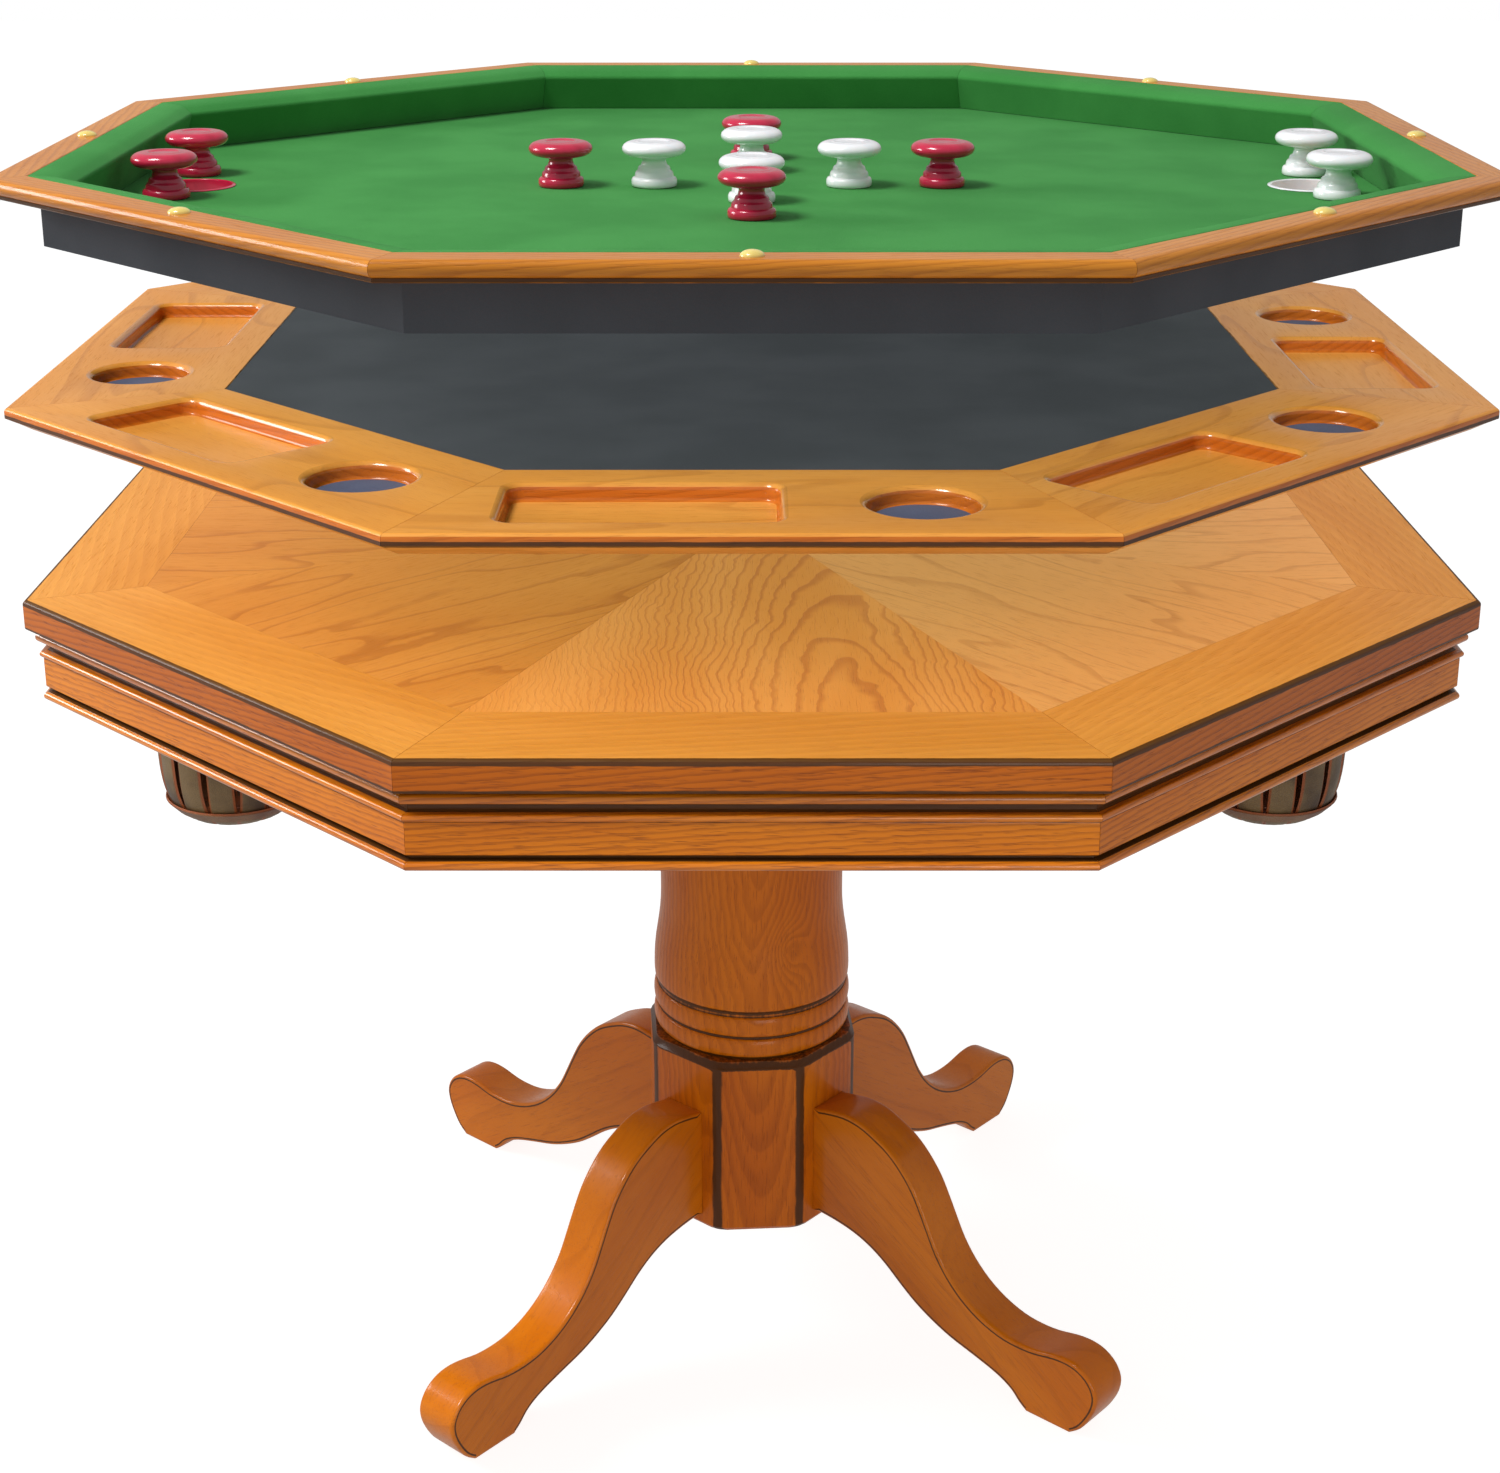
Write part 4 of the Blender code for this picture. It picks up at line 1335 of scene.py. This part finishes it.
def strap(path, wide, thick, angle):
    """Rows of points of a strap that follows (radius, z) points down one side."""
    rows = []
    for i, (radius, z) in enumerate(path):
        (r0, z0), (r1, z1) = path[max(i - 1, 0)], path[min(i + 1, len(path) - 1)]
        length = math.hypot(r1 - r0, z1 - z0) or 1
        nr, nz = -(z1 - z0) / length, (r1 - r0) / length
        half = min(wide / 2, max(radius, 0.004) * math.tan(math.pi / STRAPS) * 0.97)
        row = []
        for share, out, tint in STRAP_SECTION:
            y = share * half
            bulge = radius - math.sqrt(max(radius ** 2 - y ** 2, 0)) if radius > 0.02 else 0
            x = radius - bulge + nr * (out - 1) * thick
            row.append((*around(x, y, angle), z + nz * (out - 1) * thick, tint))
        rows.append(row)
    return rows


print(STRAPS, "straps to a basket")

# %% A hoop
HOOP_STEPS = 48
HOOP_SECTION = ((-0.5, -0.5, 1), (-0.42, 0.5, 0.5), (0.42, 0.5, 0.5), (0.5, -0.5, 1))
FLAT = 1.57  # the lean of a hoop that lies flat


def hoop(radius, z, wide, thick, lean):
    """Rows of points round a flat hoop that stands upright at lean 0."""
    rows = []
    lift = thick / 2 if lean == FLAT else 0
    for i in range(HOOP_STEPS):
        row = []
        for u, v, tint in HOOP_SECTION:
            out = math.cos(lean) * v * thick - math.sin(lean) * u * wide
            up = -math.sin(lean) * v * thick - math.cos(lean) * u * wide
            r = max(radius + out - thick / 2, 0.0008)
            row.append((*around(r, 0, 2 * math.pi * i / HOOP_STEPS), z + up + lift, tint))
        rows.append(row)
    return rows


print("hoops of", HOOP_STEPS, "steps")

# %% Baskets
STRAP_WIDE, STRAP_THICK = 0.025, 0.0022


def basket_mesh(out, top, foot):
    """A basket of outer radius out, between two heights."""
    path = smooth_line([
        (out - 0.0025, top - 0.004), (out - 0.0030, top - 0.040), (out - 0.0035, top - 0.110),
        (out - 0.0045, foot + 0.075), (out - 0.0060, foot + 0.050), (out - 0.0100, foot + 0.031),
        (out - 0.0170, foot + 0.017), (out - 0.0280, foot + 0.008), (out - 0.0420, foot + 0.0036),
        (out - 0.0600, foot + 0.0026),
    ])
    hoops = [
        hoop(out - 0.0012, top - 0.0075, 0.0150, 0.0024, 0),
        hoop(out - 0.0125, foot + 0.0205, 0.0150, 0.0022, 0.75),
        hoop(0.021, foot + 0.0030, 0.040, 0.0024, FLAT),
    ]
    points, faces = [], []
    for i in range(STRAPS):
        rows = strap(path, STRAP_WIDE, STRAP_THICK, math.radians(360 * (i + 0.5) / STRAPS))
        count, n = len(rows), len(STRAP_SECTION)
        faces += wall(count, n, len(points)) + ends(count, n, len(points))
        points += sum(rows, [])
    for rows in hoops:
        faces += wall(HOOP_STEPS, len(HOOP_SECTION), len(points), closed=True)
        points += sum(rows, [])
    return mesh_of("basket", [p[:3] for p in points], faces, [p[3] for p in points])


for name in ("left", "right"):
    low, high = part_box(f"ball_basket_{name}")
    centre = (low + high) / 2
    piece(
        f"strap_basket_{name}", basket_mesh(high.x - centre.x, high.z, low.z), STRAP_LEATHER,
        BASE, [f"ball_basket_{name}"], place=(centre.x, 0, 0),
    )
print("2 strap baskets")

# %% [markdown]
# ## Lighting each top on its own
# Three stacked tops would throw each other into the dark.  A studio avoids that by
# lighting them one at a time, and light linking does the same: each key lamp shines on
# the pieces of one tier, and only those pieces can shade it.

# %% Light linking
TIERS = {"base": (BASE, DINING), "poker": (POKER,), "bumper": (BUMPER,)}
bodies = frame["record"]["behaviour"]["bodies"]
for tier, names in TIERS.items():
    group = bpy.data.collections.new(f"{tier}_tier")
    for obj, body in ridden.items():
        if body in names:
            group.objects.link(obj)
    for name in names:
        for node in bodies[name]:
            solid = frame["nodes"][node]
            if solid.name not in group.objects:
                group.objects.link(solid)
    key_lamps[tier].light_linking.receiver_collection = group
    key_lamps[tier].light_linking.blocker_collection = group
    if tier == "base":
        fill.light_linking.receiver_collection = group

# %% [markdown]
# ## The floor
# A plain pale floor runs out to the surround.  It glows a little, and as with the
# surround the Light Path node makes it white only for rays straight from the camera, so
# that the table's foot keeps its soft shadow and the wood is not flooded from below.

# %% Floor
SPAN, FLOOR_DROP = 14.0, 0.0004
floor_finish = Finish(
    "floor_finish", Roughness=0.9, Specular_IOR_Level=0.0, Emission_Strength=0.88
)
shade = floor_finish.noise(floor_finish.object_place(), 2.0, 2.0)
straight = floor_finish.node("LightPath", out="Is Camera Ray")
floor_finish.feed(
    Base_Color=floor_finish.mix(shade, rgb(172, 172, 172), rgb(168, 168, 168)),
    Emission_Color=floor_finish.mix(straight, (LIT_GREY,) * 3 + (1,), (1, 1, 1, 1)),
)
corners = [(-SPAN, -SPAN), (SPAN, -SPAN), (SPAN, SPAN), (-SPAN, SPAN)]
sheet = mesh_of("ground", [(x, y, -FLOOR_DROP) for x, y in corners], [(0, 1, 2, 3)])
ground = bpy.data.objects.new("ground", sheet)
bpy.context.scene.collection.objects.link(ground)
ground.data.materials.append(floor_finish.material)
ground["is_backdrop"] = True
print("floor laid")

# %% [markdown]
# ## Sizes
# The imported model's box and the dressed model's box are printed side by side.

# %% Sizes
visual_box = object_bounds()
for name, corners in (("cad", cad_box), ("visual", visual_box)):
    print(name, [tuple(round(c, 4) for c in p) for p in corners])
